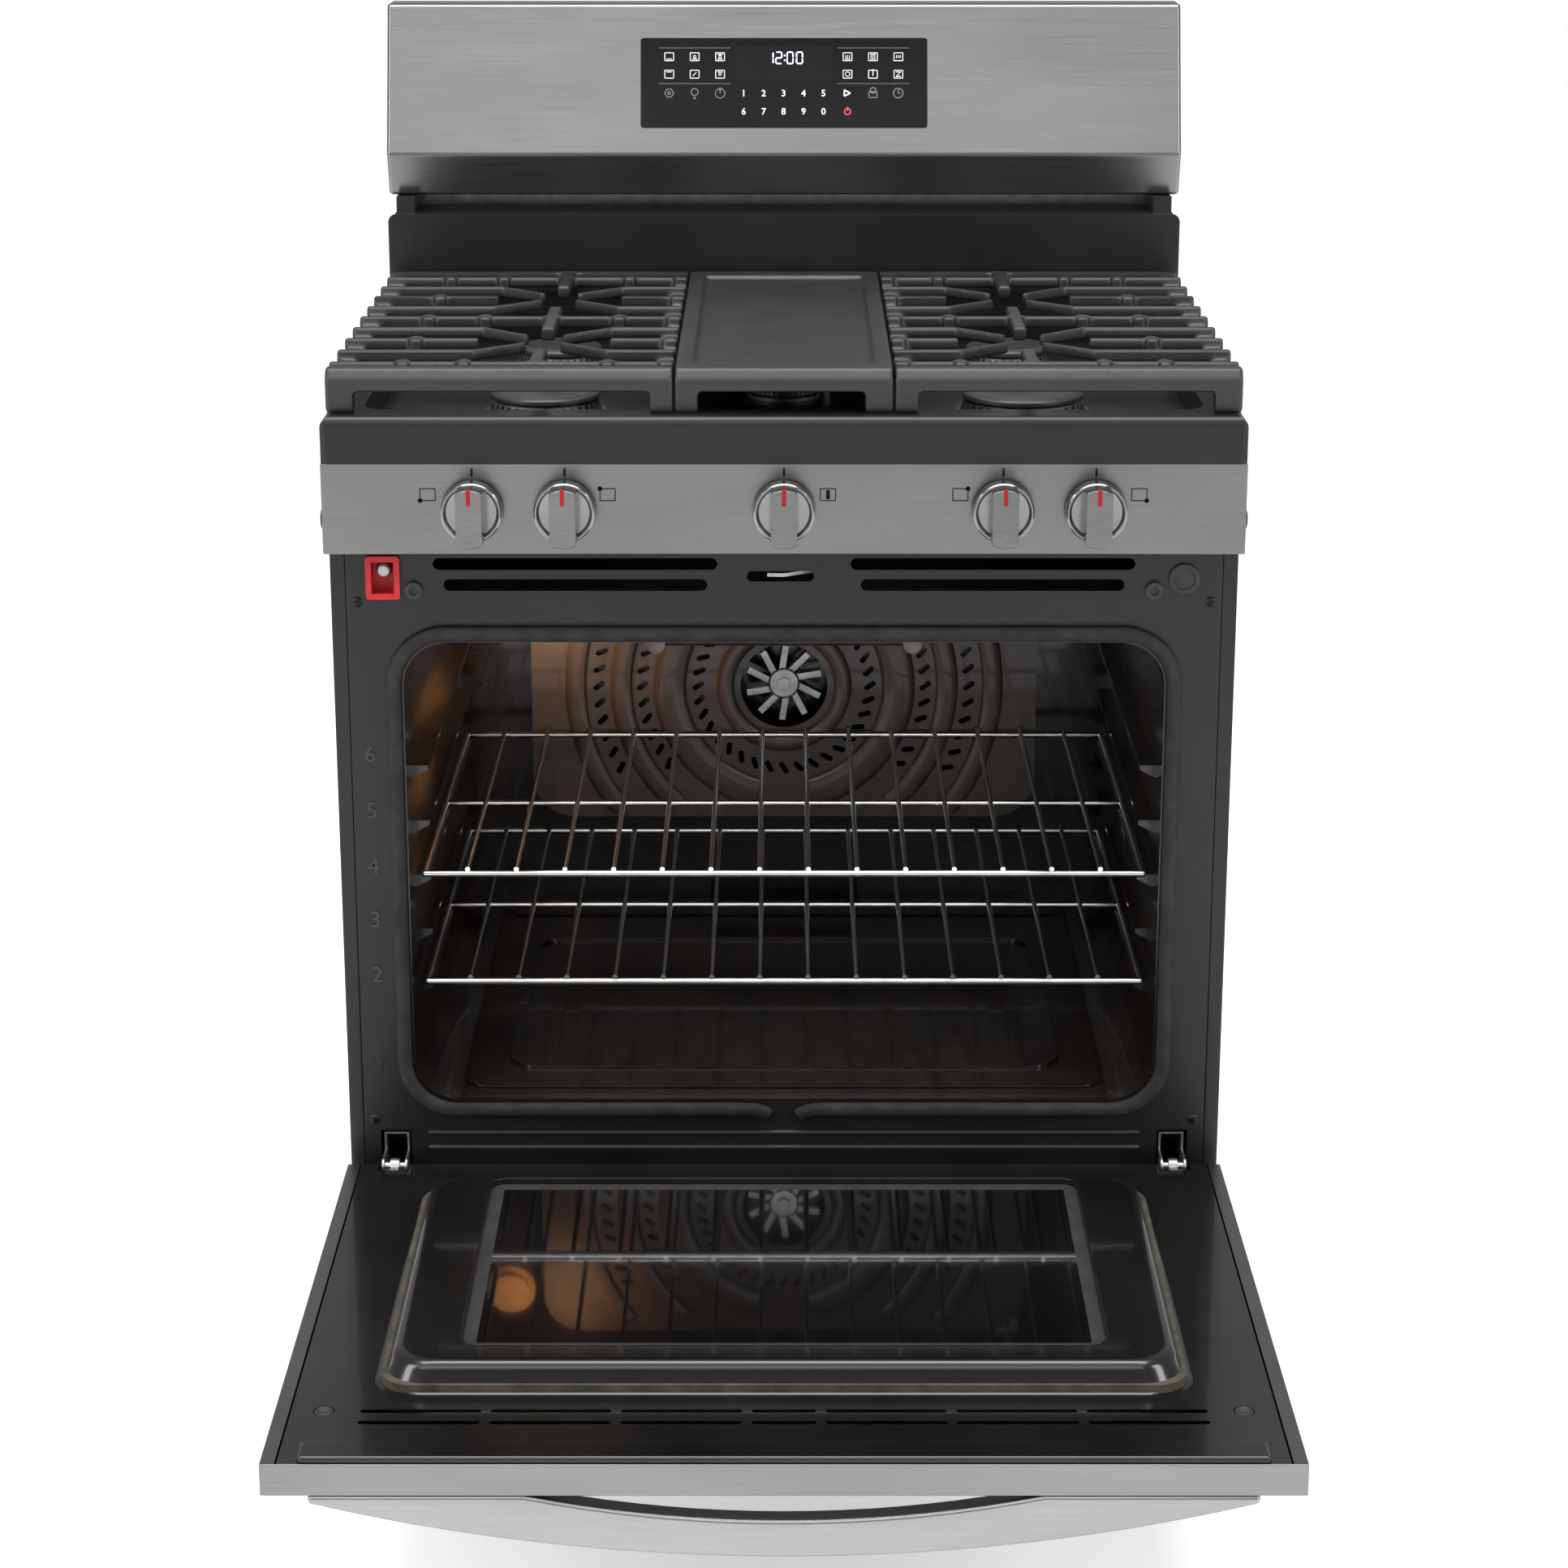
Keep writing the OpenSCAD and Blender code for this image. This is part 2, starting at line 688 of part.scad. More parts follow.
module knob(x) {
    color("#a9a9a9") place() translate([x, -knob_back, knob_z]) rotate([90, 0, 0]) difference() {
        union() {
            cylinder(r1 = knob_r, r2 = knob_r - 1.3, h = 12);
            intersection() {
                cylinder(r1 = knob_r - 1, r2 = knob_r - 3, h = knob_d);
                translate([0, 0, knob_d / 2]) cube([grip_w, 3 * knob_r, knob_d], center = true);
            }
        }
        cylinder(r = stem_r + fit, h = 22);
        difference() {
            translate([0, 0, 8]) cylinder(r = knob_r - 3.5, h = 10);
            translate([0, 0, knob_d / 2]) cube([grip_w, 3 * knob_r, knob_d], center = true);
        }
    }
}

// ---------------------------------------------------------------- cooktop

module well(grow) {
    round_rect([-half_w + rim_w - grow, half_w - rim_w + grow], [rim_w - grow, well_y1 + grow], 22);
}

module cooktop_deck() {
    color("#2f2f2f") place() difference() {
        intersection() {
            lay_xz([0, deck_y1]) {
                round_rect([-half_w, half_w], [panel_z1, cooktop_h], 11);
                flat([-half_w, half_w], [panel_z1, cooktop_h - 12]);
            }
            lay_yz([-half_w, half_w]) {
                round_rect([0, deck_y1 + 20], [panel_z1, cooktop_h], 7);
                flat([0, deck_y1], [panel_z1, cooktop_h - 8]);
            }
            lay_xy([panel_z1, cooktop_h]) {
                round_rect([-half_w, half_w], [0, deck_y1 + 20], 6);
            }
            slab([-half_w, half_w], [0, deck_y1], [panel_z1, cooktop_h]);
        }
        difference() {
            union() {
                slab([-half_w + deck_t, half_w - deck_t], [deck_t, deck_y1 - deck_t],
                    [panel_z1 - 1, cooktop_h - 11]);
                slab([-half_w + 11, half_w - 11], [8, deck_y1 - 8], [panel_z1 - 1, cooktop_h - deck_t]);
            }
            lay_xy([well_z - deck_t, cooktop_h]) well(deck_t);
        }
        lay_xy([well_z, cooktop_h + 1]) well(0);
        for (b = burners) rod_z(throat_r + 0.5, b[0], b[1], [0, far]);
        rod_z(throat_r + 0.5, 0, middle_burner_y, [0, far]);
    }
}

module oval(r) {
    for (s = [-1, 1]) translate([0, s * oval_half]) circle(r = r);
    flat([-r, r], [-oval_half, oval_half]);
}

module burner_bases() {
    color("#9c9c9c") place() {
        for (b = burners) translate([b[0], b[1], well_z]) {
            rod_z(throat_r, 0, 0, [-20, 0]);
            cylinder(r = b[2], h = 4);
            translate([0, 0, 4]) cylinder(r1 = b[2] - 3, r2 = b[2] - 8, h = 11);
        }
        translate([0, middle_burner_y, well_z]) {
            rod_z(throat_r, 0, 0, [-20, 0]);
            lay_xy([0, 4]) oval(oval_r);
            lay_xy([4, 13]) oval(oval_r - 4);
        }
    }
}

module burner_caps() {
    color("#262626") place() {
        for (b = burners) translate([b[0], b[1], well_z + 15]) {
            cylinder(r = b[2] - 6, h = 4);
            translate([0, 0, 4]) cylinder(r1 = b[2] - 6, r2 = b[2] - 10, h = 3);
        }
        translate([0, middle_burner_y, well_z + 13]) lay_xy([0, 7]) oval(oval_r - 6);
    }
}

module spark_electrodes() {
    color("#e8e4da") place() {
        for (b = burners) rod_z(3, b[0], b[1] + b[2] + 5, at(well_z, [0, 16]));
        rod_z(3, oval_r + 5, middle_burner_y, at(well_z, [0, 14]));
    }
}

module grate_legs(x0, x1) {
    for (x = [[x0, x0 + 19], [x1 - 23, x1]], y = [at(grate_y0, [-2, 14]), at(grate_y1, [-14, 0])])
        slab(x, y, [cooktop_h, rail_z0 + 2]);
}

// The front rail's upper half leans back.
module grate_front(x0, x1) {
    lay_yz([x0, x1]) polygon([
        [grate_y0 - 2, rail_z0], [grate_y0 - 2, rail_z0 + 10], [grate_y0 + 4, grate_z],
        [grate_y0 + 14, grate_z], [grate_y0 + 14, rail_z0]
    ]);
}

// One finger from the end of a cross bar to its tip beside the burner
module finger(y, side, toward) {
    root_x = burner_x + side * 56;
    tip_x = burner_x + side * 16;
    tip_y = y + toward * 36;
    half = bar_w / 2;
    lay_xy([grate_z - bar_h, grate_z]) polygon([
        [root_x + side * 3, y - half], [root_x + side * 3, y + half], [root_x, y + half],
        [tip_x + side, tip_y + half - 1], [tip_x - side * 2, tip_y], [tip_x + side, tip_y - half + 1],
        [root_x, y - half]
    ]);
}

module grate() {
    top = [grate_z - bar_h, grate_z];
    half = bar_w / 2;
    outer_end = burner_x + 56;
    inner_end = burner_x - 56;
    color("#3f3f3f") place() {
        grate_front(grate_x0, grate_x1);
        grate_legs(grate_x0, grate_x1);
        slab([grate_x0, grate_x1], at(grate_y1, [-bar_w, 0]), [rail_z0, grate_z]);
        slab([grate_x0, grate_x0 + 14], [grate_y0, grate_y1], [rail_z0, grate_z - 8]);
        slab([grate_x1 - 16, grate_x1 - 1], [grate_y0, grate_y1], [rail_z0, grate_z - 8]);
        for (i = [0:8]) {
            y = row_y0 + i * row_pitch;
            if (i % 4 == 0) slab([grate_x0 + 6, grate_x1], at(y, [-half, half]), top);
            else if (i % 2 == 0) {
                slab([outer_end, grate_x1], at(y, [-half, half]), top);
                slab([grate_x0 + 6, inner_end], at(y, [-half, half]), top);
            } else {
                toward = i % 4 == 1 ? 1 : -1;
                slab([outer_end, grate_x1], at(y, [-half, half]), top);
                slab([grate_x0, inner_end], at(y, [-half, half]), top);
                finger(y, 1, toward);
                finger(y, -1, toward);
            }
            if (i % 2 == 0) {
                pads = i % 4 == 0 ? [-59.5, 59.5, 109.5] : [109.5];
                for (x = pads)
                    slab(at(burner_x + x, [-5, 5]), at(y, [-10, 10]), [grate_z - 11, grate_z + 1]);
                slab([grate_x0, grate_x0 + 12], at(y, [-9, 9]), [grate_z - 11, grate_z + 1]);
            }
        }
        // Spines run along Y from the cross bars towards the burners.
        for (y = [[row_y0, front_burner_y - 52], [front_burner_y + 50, rear_burner_y - 60],
                [rear_burner_y + 52, grate_y1 - 2]])
            slab(at(burner_x, [-6, 6]), y, [grate_z - bar_h - 1, grate_z + 1]);
    }
}

module griddle_plate() {
    x = griddle_w / 2;
    color("#3c3c3c") place() {
        grate_front(-x, x);
        grate_legs(-x, x);
        difference() {
            slab([-x, x], [grate_y0 + 14, grate_y1], [rail_z0, grate_z]);
            slab([-x + 7, x - 7], [0, grate_y1 - 7], [0, grate_z - 10]);
            lay_xy([grate_z - 4, far])
                round_rect([-x + 14, x - 14], [grate_y0 + 27, grate_y1 - 24], 5);
        }
    }
}

// ---------------------------------------------------------------- panels and console

module control_panel() {
    color("#b4b4b4") place() difference() {
        slab([-half_w, half_w], [0, frame_set - 0.1], [panel_z0, panel_z1]);
        slab([-half_w + sheet, half_w - sheet], [sheet, far], [panel_z0 + sheet, panel_z1 - sheet]);
        for (x = knob_xs) rod_y(stem_r + 2, x, [-1, sheet + 1], knob_z);
    }
}

module on_face() {
    translate([0, face_foot[0], face_foot[1]]) rotate([-face_tilt, 0, 0]) children();
}

module console_housing() {
    color("#b0b0b0") place() difference() {
        lay_yz([-half_w, half_w]) polygon([face_foot, face_head, [body_d, top_z],
            [body_d, chin_foot[1]], chin_foot]);
        lay_yz([-half_w + sheet, half_w - sheet]) polygon([
            face_foot + [1.3, 0], face_head + [0.9, -sheet], [rear_y, top_z - sheet],
            [rear_y, chin_foot[1] + sheet], chin_foot + [sheet * 0.9, sheet]
        ]);
        on_face() slab([-display_w / 2 - slip, display_w / 2 + slip], [-5, 5],
            at(display_up, [-display_h / 2 - slip, display_h / 2 + slip]));
    }
}

module console_glass() {
    color("#101010") place() on_face()
        slab([-display_w / 2, display_w / 2], [-1, 3], at(display_up, [-display_h / 2, display_h / 2]));
}

module console_board() {
    color("#2f5d3a") place() on_face() {
        slab([-120, 120], [6, 7.6], at(display_up, [-35, 35]));
        slab([-60, 60], [7.6, 14], at(display_up, [-20, 20]));
        for (x = [-110, 110]) rod_y(3, x, [3, 6], display_up);
    }
}

module backsplash_panel() {
    color("#303030") place() {
        lay_xz([splash_y, splash_y + sheet]) {
            round_rect([-half_w, half_w], [cooktop_h, splash_z1], 8);
            flat([-half_w, half_w], [cooktop_h, splash_z1 - 10]);
        }
        both_sides() slab([half_w - sheet, half_w], [splash_y, rear_y], [cooktop_h, splash_z1 - 8]);
        slab([-half_w + 8, half_w - 8], [splash_y, rear_y - 20], at(splash_z1, [-sheet, 0]));
        // Two blocks hold the console over the vent gap.
        both_sides()
            slab(at(half_w, [-26, -8]), [splash_y + 4, rear_y - 10], [splash_z1 - sheet, chin_foot[1]]);
    }
}

// ---------------------------------------------------------------- door

module on_door() {
    translate([0, hinge_y, hinge_z]) children();
}

// The raised middle of the inner panel, shrunk all round by its wall
module plug_block(wall) {
    top = plug_top - wall;
    low = door_in - 3;
    foot = door_in;
    u = [-plug_u1 + wall, -plug_u0 - wall];
    x = plug_x - wall;
    intersection() {
        lay_xy([low, top]) round_rect([-x, x], u, oven_r - 3);
        lay_yz([-x, x]) polygon([[u[0], low], [u[1], low], [u[1], foot],
            [u[1] - plug_slope, top], [u[0] + plug_slope, top], [u[0], foot]]);
        lay_xz(u) polygon([[-x, low], [x, low], [x, foot], [x - plug_slope, top],
            [-x + plug_slope, top], [-x, foot]]);
    }
}

module window_area(grow) {
    round_rect([-window_w / 2 - grow, window_w / 2 + grow],
        [-window_u0 - window_l - grow, -window_u0 + grow], 14);
}

module door_liner() {
    inside = [-door_u1 + 1.2, -door_u0 - 1.2];
    color("#161616") place() on_door() {
        difference() {
            union() {
                slab([-liner_x, liner_x], inside, [door_in - liner_t, door_in]);
                plug_block(0);
                slab([-liner_x + 14.5, liner_x - 14.5], [inside[0], inside[0] + 27],
                    at(door_in, [-1, door_lip_h]));
            }
            difference() {
                plug_block(liner_t);
                slab([-far, far], [-far, far], [-far, door_in - 10]);
            }
            slab([-liner_x + 15.5, liner_x - 15.5], at(inside[0], [1, 26]), [0, door_in + door_lip_h - 1]);
            lay_xy([plug_top - 3, plug_top + 1]) window_area(0);
            for (u = vent_us) {
                for (s = [-1, 1], i = [0:2]) lay_xy([0, door_in + 1])
                    round_rect(at(s * (76 + i * 97), [-45, 45]), at(-u, [-2.7, 2.7]), 2.6);
                lay_xy([0, door_in + 1]) round_rect([-24, 24], at(-u, [-2.7, 2.7]), 2.6);
            }
            both_sides() {
                rod_z(8, liner_x - 24.5, -vent_us[0], [0, far]);
                slab(at(hinge_x, [-14, 14]), [-20, 0], [0, far]);
            }
        }
        lay_xy([glass_top + slip, plug_top - liner_t / 2]) difference() {
            window_area(liner_t);
            window_area(0);
        }
        both_sides()
            slab([liner_x - liner_t, liner_x], inside - [0, 15], [door_in - 12, door_in - liner_t / 2]);
    }
}

module door_skin() {
    u = [-door_u1, -door_u0];
    color("#b8b8b8") place() on_door() difference() {
        union() {
            difference() {
                slab([-door_x, door_x], u, [-door_out, door_in]);
                slab([-door_x + 1, door_x - 1], [u[0] + 1, u[1] - 1], [-door_out + 1, far]);
            }
            both_sides() slab([door_x - 11, door_x], u, [door_in - 1, door_in]);
        }
        lay_xy([-door_out - 1, -door_out + 1.5]) outer_window(slip);
        both_sides() slab(at(hinge_x, [-14, 14]), [-20, 0], [-12, far]);
    }
}

module outer_window(grow) {
    round_rect([-window_w / 2 - 6 - grow, window_w / 2 + 6 + grow],
        [-window_u0 - window_l + 20 - grow, -window_u0 - 22 + grow], 10);
}

module door_glass_outer() {
    color([0.06, 0.06, 0.06, 0.6]) place() on_door() lay_xy(at(-door_out, [0.1, 4])) outer_window(0);
}

module door_glass_inner() {
    color([0.1, 0.1, 0.1, 0.5]) place() on_door() lay_xy([glass_top - glass_t, glass_top]) window_area(7);
}

module door_insulation() {
    color("#b9a26a") place() on_door() difference() {
        slab([-plug_x + 14, plug_x - 14], [-plug_u1 + 14, -plug_u0 - 14], [-door_out + 5, 12]);
        lay_xy([-far, far]) window_area(12);
    }
}

// Radius of the arc that rises by h over a half chord c
function arc_r(c, h) = (c * c + h * h) / (2 * h);

module door_handle() {
    end_t = 7;
    grip_x = 188;
    outer_r = arc_r(handle_x, handle_out - end_t);
    inner_r = arc_r(grip_x, handle_out - handle_t);
    color("#bdbdbd") place() on_door()
        lay_xz([-door_u1, -door_u1 + handle_w]) translate([0, -door_out]) difference() {
            intersection() {
                flat([-handle_x, handle_x], [-handle_out - 1, 0]);
                translate([0, outer_r - handle_out]) circle(r = outer_r, $fn = 200);
            }
            translate([0, inner_r - handle_out + handle_t]) circle(r = inner_r, $fn = 200);
        }
}

module door_hinge_arms() {
    color("#9a9a9a") place() on_door() both_sides() difference() {
        lay_yz(at(hinge_x, [-arm_w / 2, arm_w / 2])) {
            circle(r = knuckle_r - 1);
            flat([-80, 0], [-6, 2]);
            flat([-80, -24], [-door_out + 1.2, 2]);
        }
        rod_x(pin_r + fit, [0, far], 0, 0);
    }
}

// ---------------------------------------------------------------- drawer

module drawer_front() {
    color("#b4b4b4") place() difference() {
        slab([-drawer_x, drawer_x], [hinge_y - door_out, frame_set - 3], [drawer_z, drawer_top]);
        slab([-drawer_x + sheet, drawer_x - sheet], [hinge_y - door_out + sheet, frame_set - 3 - sheet],
            [drawer_z + sheet, drawer_top - sheet]);
    }
}

module drawer_box() {
    y = [frame_set - 3, box_y1];
    z = [drawer_z + 12, drawer_top - 10];
    color("#4a4a4a") place() {
        difference() {
            slab([-box_x, box_x], y, z);
            slab([-box_x + sheet, box_x - sheet], y + [sheet, -sheet], [z[0] + sheet, far]);
        }
        both_sides()
            slab([box_x - sheet / 2, runner_x], [frame_set + 14, box_y1], at(runner_z, [-5.5, 5.5]));
    }
}

module drawer_rails() {
    color("#7c7c7c") place() both_sides() difference() {
        slab([box_x + 7, base_x], [frame_set + 14, box_y1 + 4], at(runner_z, [-12, 12]));
        slab([0, runner_x + 3], [0, far], at(runner_z, [-6, 6]));
    }
}

// ---------------------------------------------------------------- the part

base_frame();
mirror([1, 0, 0]) side_panel();  // side_panel_left
side_panel();  // side_panel_right
rear_cover();
leveling_feet();
front_frame();
oven_cavity();
oven_floor_panel();
oven_gasket();
fan_baffle();
fan_motor();
oven_lamp();
broil_burner();
bake_burner();
temperature_sensor();
insulation_blanket();
gas_manifold();
gas_valves();
gas_regulator();
cooktop_deck();
burner_bases();
burner_caps();
spark_electrodes();
control_panel();
console_housing();
console_glass();
console_board();
backsplash_panel();
switch_housing();
frame_screws();
frame_bumpers();
hinge_receivers();
drawer_rails();
switch_plunger();
door_latch();
convection_fan();
rack(rack_zs[3]);  // rack_upper
rack(rack_zs[1]);  // rack_lower
for (i = [0:4]) {
    knob(knob_xs[i]);
    valve_stem(knob_xs[i]);
}
mirror([1, 0, 0]) grate();  // grate_left
grate();  // grate_right
griddle_plate();
door_skin();
door_liner();
door_glass_inner();
door_glass_outer();
door_insulation();
door_handle();
door_hinge_arms();
drawer_front();
drawer_box();
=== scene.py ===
# %% [markdown]
# # A freestanding gas range
# The real range is a dozen pressed and enamelled sheets around an oven box, with cast grates on
# top, a stainless console behind them and a door that folds down on two hinge arms. The CAD model
# already holds every part at its true size, so this lesson starts from it and gives each part the
# soft edges, small pressings and finishes that make steel, iron and glass look like themselves.

import json
import math

import bpy
from mathutils import Matrix, Vector


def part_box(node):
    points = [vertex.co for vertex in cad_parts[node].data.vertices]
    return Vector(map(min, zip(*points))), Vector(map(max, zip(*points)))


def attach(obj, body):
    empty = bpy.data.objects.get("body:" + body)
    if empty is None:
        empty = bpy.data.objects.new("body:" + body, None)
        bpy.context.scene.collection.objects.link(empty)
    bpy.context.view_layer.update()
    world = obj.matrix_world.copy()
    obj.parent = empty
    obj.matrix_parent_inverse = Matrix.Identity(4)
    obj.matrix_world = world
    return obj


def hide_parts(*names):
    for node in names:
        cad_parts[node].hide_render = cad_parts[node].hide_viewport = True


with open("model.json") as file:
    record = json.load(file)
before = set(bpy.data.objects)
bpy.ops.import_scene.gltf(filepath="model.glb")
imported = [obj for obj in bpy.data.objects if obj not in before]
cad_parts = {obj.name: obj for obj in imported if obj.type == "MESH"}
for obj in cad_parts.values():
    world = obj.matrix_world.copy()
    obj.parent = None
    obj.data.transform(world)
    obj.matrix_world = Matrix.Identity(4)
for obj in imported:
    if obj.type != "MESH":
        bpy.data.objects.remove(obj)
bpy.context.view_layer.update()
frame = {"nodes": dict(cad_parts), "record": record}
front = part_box("control_panel")[0].y      # the plane of the control panel, where depths start
MM = 0.001

# %% [markdown]
# ## Camera
# The viewer stands in front of the open oven, a little under three metres from the panel and
# looking down about sixteen degrees, through a long lens, so that the console, the cooktop, the
# inside of the oven and the open door are all seen at once.

# %% Camera
camera_data = bpy.data.cameras.new("camera")
camera_data.lens = 80.6
camera_data.shift_y = -0.05
camera_data.sensor_width = 36
camera = bpy.data.objects.new("camera", camera_data)
bpy.context.scene.collection.objects.link(camera)
camera.location = (0, front - 2.812, 1.474)
camera.rotation_euler = (math.radians(90 - 15.96), 0, 0)
bpy.context.scene.camera = camera
print("camera at", [round(v, 3) for v in camera.location])

# %% [markdown]
# ## Finishes: the tools
# A colour is written as the sRGB hex value that a paint card would give, and one function turns
# it into the linear numbers that shaders use. One more function adds a node, with its settings
# and its links, and all the finishes below are built with it.

# %% Colour and node helpers
def hex_colour(text):
    """The linear colour of an sRGB hex value."""
    parts = [int(text[i:i + 2], 16) / 255 for i in (1, 3, 5)]
    return [c / 12.92 if c < 0.04045 else ((c + 0.055) / 1.055) ** 2.4 for c in parts] + [1.0]


def add_node(finish, kind, settings=(), links=()):
    """Adds a node to a finish: settings are properties or sockets, links are outputs to plug in."""
    new = finish.node_tree.nodes.new("ShaderNode" + kind)
    for key, value in dict(settings).items():
        if isinstance(key, int) or key in new.inputs:
            new.inputs[key].default_value = value
        else:
            setattr(new, key, value)
    for key, output in dict(links).items():
        finish.node_tree.links.new(output, new.inputs[key])
    return new


def new_finish(name, settings):
    """A finish whose Principled shader holds everything that is the same all over the surface."""
    finish = bpy.data.materials.new(name)
    finish.use_nodes = True
    shader = finish.node_tree.nodes["Principled BSDF"]
    for key, value in settings.items():
        shader.inputs[key].default_value = value
    return finish, shader


def feed(finish, shader, links):
    """Plugs outputs into the shader's own sockets."""
    for key, output in links.items():
        finish.node_tree.links.new(output, shader.inputs[key])


print("helpers ready")

# %% [markdown]
# ## Patterns shared by several finishes
# Sheet steel is brushed with a belt, so its scratches all run one way: a noise that is stretched
# a hundred times or more along the grain. Enamel and cast iron are mottled alike in all
# directions. `mottle` returns a noise value laid out in metres on the object itself, and
# `shades`, `spread` and `relief` turn it into a colour, a roughness and a bump.

# %% Pattern helpers
def mottle(finish, size_mm, detail=3.0, stretch=(1, 1, 1)):
    """Noise whose blotches are about size_mm across, longer where stretch is larger."""
    place = add_node(finish, "TexCoord")
    scale = [1 / (size_mm * MM * s) for s in stretch]
    sized = add_node(finish, "Mapping", {"Scale": scale}, {"Vector": place.outputs["Object"]})
    noise = add_node(finish, "TexNoise", {"Scale": 1.0, "Detail": detail, "Roughness": 0.55},
                     {"Vector": sized.outputs["Vector"]})
    return noise.outputs["Fac"]


def shades(finish, value, low, high, start=0.3, stop=0.7):
    """Turns a value into a colour between two hex colours."""
    ramp = add_node(finish, "ValToRGB", {}, {"Fac": value})
    ramp.color_ramp.elements[0].position = start
    ramp.color_ramp.elements[0].color = hex_colour(low)
    ramp.color_ramp.elements[1].position = stop
    ramp.color_ramp.elements[1].color = hex_colour(high)
    return ramp.outputs["Color"]


def spread(finish, value, low, high):
    """Turns a value of about 0.3 to 0.7 into a range of roughness."""
    out = add_node(finish, "MapRange", {"From Min": 0.3, "From Max": 0.7, "To Min": low,
                                        "To Max": high}, {"Value": value})
    return out.outputs["Result"]


def relief(finish, value, depth_mm, strength=1.0):
    """Turns a value into bumps of about depth_mm."""
    out = add_node(finish, "Bump", {"Strength": strength, "Distance": depth_mm * MM},
                   {"Height": value})
    return out.outputs["Normal"]


print("patterns ready")

# %% [markdown]
# ## Brushed stainless steel
# Type 430 stainless sheet, belt-brushed from side to side. The grain makes the reflection long
# and soft up and down the sheet and sharp along it. A real scratch is 0.1 mm wide, too fine to
# show from across a kitchen, so it is drawn 0.5 mm wide and 80 mm long. The handle and the knobs
# are the same steel, polished finer, and the knobs' scratches are shorter.

# %% Stainless finishes
def brushed(name, low, high, rough, line_mm=0.5, along=160):
    finish, shader = new_finish(name, {"Metallic": 1.0})
    grain = mottle(finish, line_mm, 4.0, (along, 1, 1))
    cloud = mottle(finish, 90, 2.0, (3, 1, 1))
    both = add_node(finish, "Mix", {"Factor": 0.5, "data_type": "FLOAT"},
                    {2: grain, 3: cloud}).outputs[0]
    feed(finish, shader, {"Base Color": shades(finish, both, low, high),
                          "Roughness": spread(finish, grain, rough, rough + 0.08),
                          "Normal": relief(finish, grain, 0.012, 0.3)})
    return finish


stainless = brushed("brushed_stainless_steel", "#6d6d6c", "#81817f", 0.27)
handle_steel = brushed("satin_stainless_handle", "#7f7f7f", "#959594", 0.26)
knob_steel = brushed("turned_stainless_knob", "#626261", "#7f7f7d", 0.2, 0.7, 12)
polished = brushed("polished_stainless_ring", "#7b7b7a", "#969694", 0.12, 0.5, 8)
print("stainless:", stainless.name, handle_steel.name, knob_steel.name, polished.name)

# %% [markdown]
# ## Black enamel, oven porcelain and painted sheet
# The body sheets are sprayed with black enamel and baked: a satin skin with a faint orange peel
# about 2 mm across. The oven lining is fired porcelain, glassy and nearly black with a brown
# warmth, and has pale specks a quarter of a millimetre across, drawn at 1 mm so that they show.

# %% Enamel finishes
def enamel(name, low, high, rough, peel_mm=2.0, coat=0.0):
    finish, shader = new_finish(name, {"Coat Weight": coat, "Coat Roughness": 0.06, "IOR": 1.5,
                                       "Specular IOR Level": 0.35})
    cloud = mottle(finish, 120, 2.0)
    peel = mottle(finish, peel_mm, 1.0)
    feed(finish, shader, {"Base Color": shades(finish, cloud, low, high),
                          "Roughness": spread(finish, cloud, rough, rough + 0.03),
                          "Normal": relief(finish, peel, 0.02, 0.25)})
    return finish


def porcelain(name, low, high, rough, speck_mm=1.0):
    finish, shader = new_finish(name, {"IOR": 1.52, "Coat Weight": 0.2, "Coat Roughness": 0.05,
                                       "Specular IOR Level": 0.35})
    cloud = mottle(finish, 80, 3.0)
    place = add_node(finish, "TexCoord")
    cells = add_node(finish, "TexVoronoi", {"Scale": 1 / (speck_mm * 4 * MM)},
                     {"Vector": place.outputs["Object"]})
    speck = add_node(finish, "MapRange", {"From Min": 0.10, "From Max": 0.16, "To Min": 1.0,
                                          "To Max": 0.0}, {"Value": cells.outputs["Distance"]})
    ground = shades(finish, cloud, low, high)
    mixed = add_node(finish, "Mix", {"data_type": "RGBA", 7: hex_colour("#3a3531")},
                     {0: speck.outputs["Result"], 6: ground})
    peel = mottle(finish, 3.0, 1.0)
    feed(finish, shader, {"Base Color": mixed.outputs[2],
                          "Roughness": spread(finish, cloud, rough, rough + 0.07),
                          "Normal": relief(finish, peel, 0.03, 0.3)})
    return finish


black_enamel = enamel("black_body_enamel", "#0c0c0c", "#131313", 0.34)
door_enamel = enamel("glossy_door_enamel", "#0a0a0a", "#111110", 0.2, 3.0, 0.35)
deck_enamel = enamel("black_cooktop_enamel", "#0c0c0d", "#131314", 0.22, 2.5, 0.25)
oven_porcelain = porcelain("oven_porcelain", "#0d0a08", "#18130f", 0.16)
print("enamels:", black_enamel.name, deck_enamel.name, oven_porcelain.name)

# %% [markdown]
# ## Cast iron
# Grates and griddle are grey iron poured in sand, then coated with a matt enamel. Sand leaves
# grains of about 0.8 mm over slower waves of 6 mm, and the coat's tone drifts in patches about 40
# mm across.

# %% Cast iron finish
def cast_iron(name, low, high, rough, grain_mm=0.8):
    finish, shader = new_finish(name, {"IOR": 1.5, "Specular IOR Level": 0.55})
    sand = mottle(finish, grain_mm, 4.0)
    wave = mottle(finish, 6, 2.0)
    cloud = mottle(finish, 40, 3.0)
    height = add_node(finish, "Mix", {"Factor": 0.4, "data_type": "FLOAT"},
                      {2: sand, 3: wave}).outputs[0]
    feed(finish, shader, {"Base Color": shades(finish, cloud, low, high),
                          "Roughness": spread(finish, sand, rough, rough + 0.15),
                          "Normal": relief(finish, height, 0.35, 0.5)})
    return finish


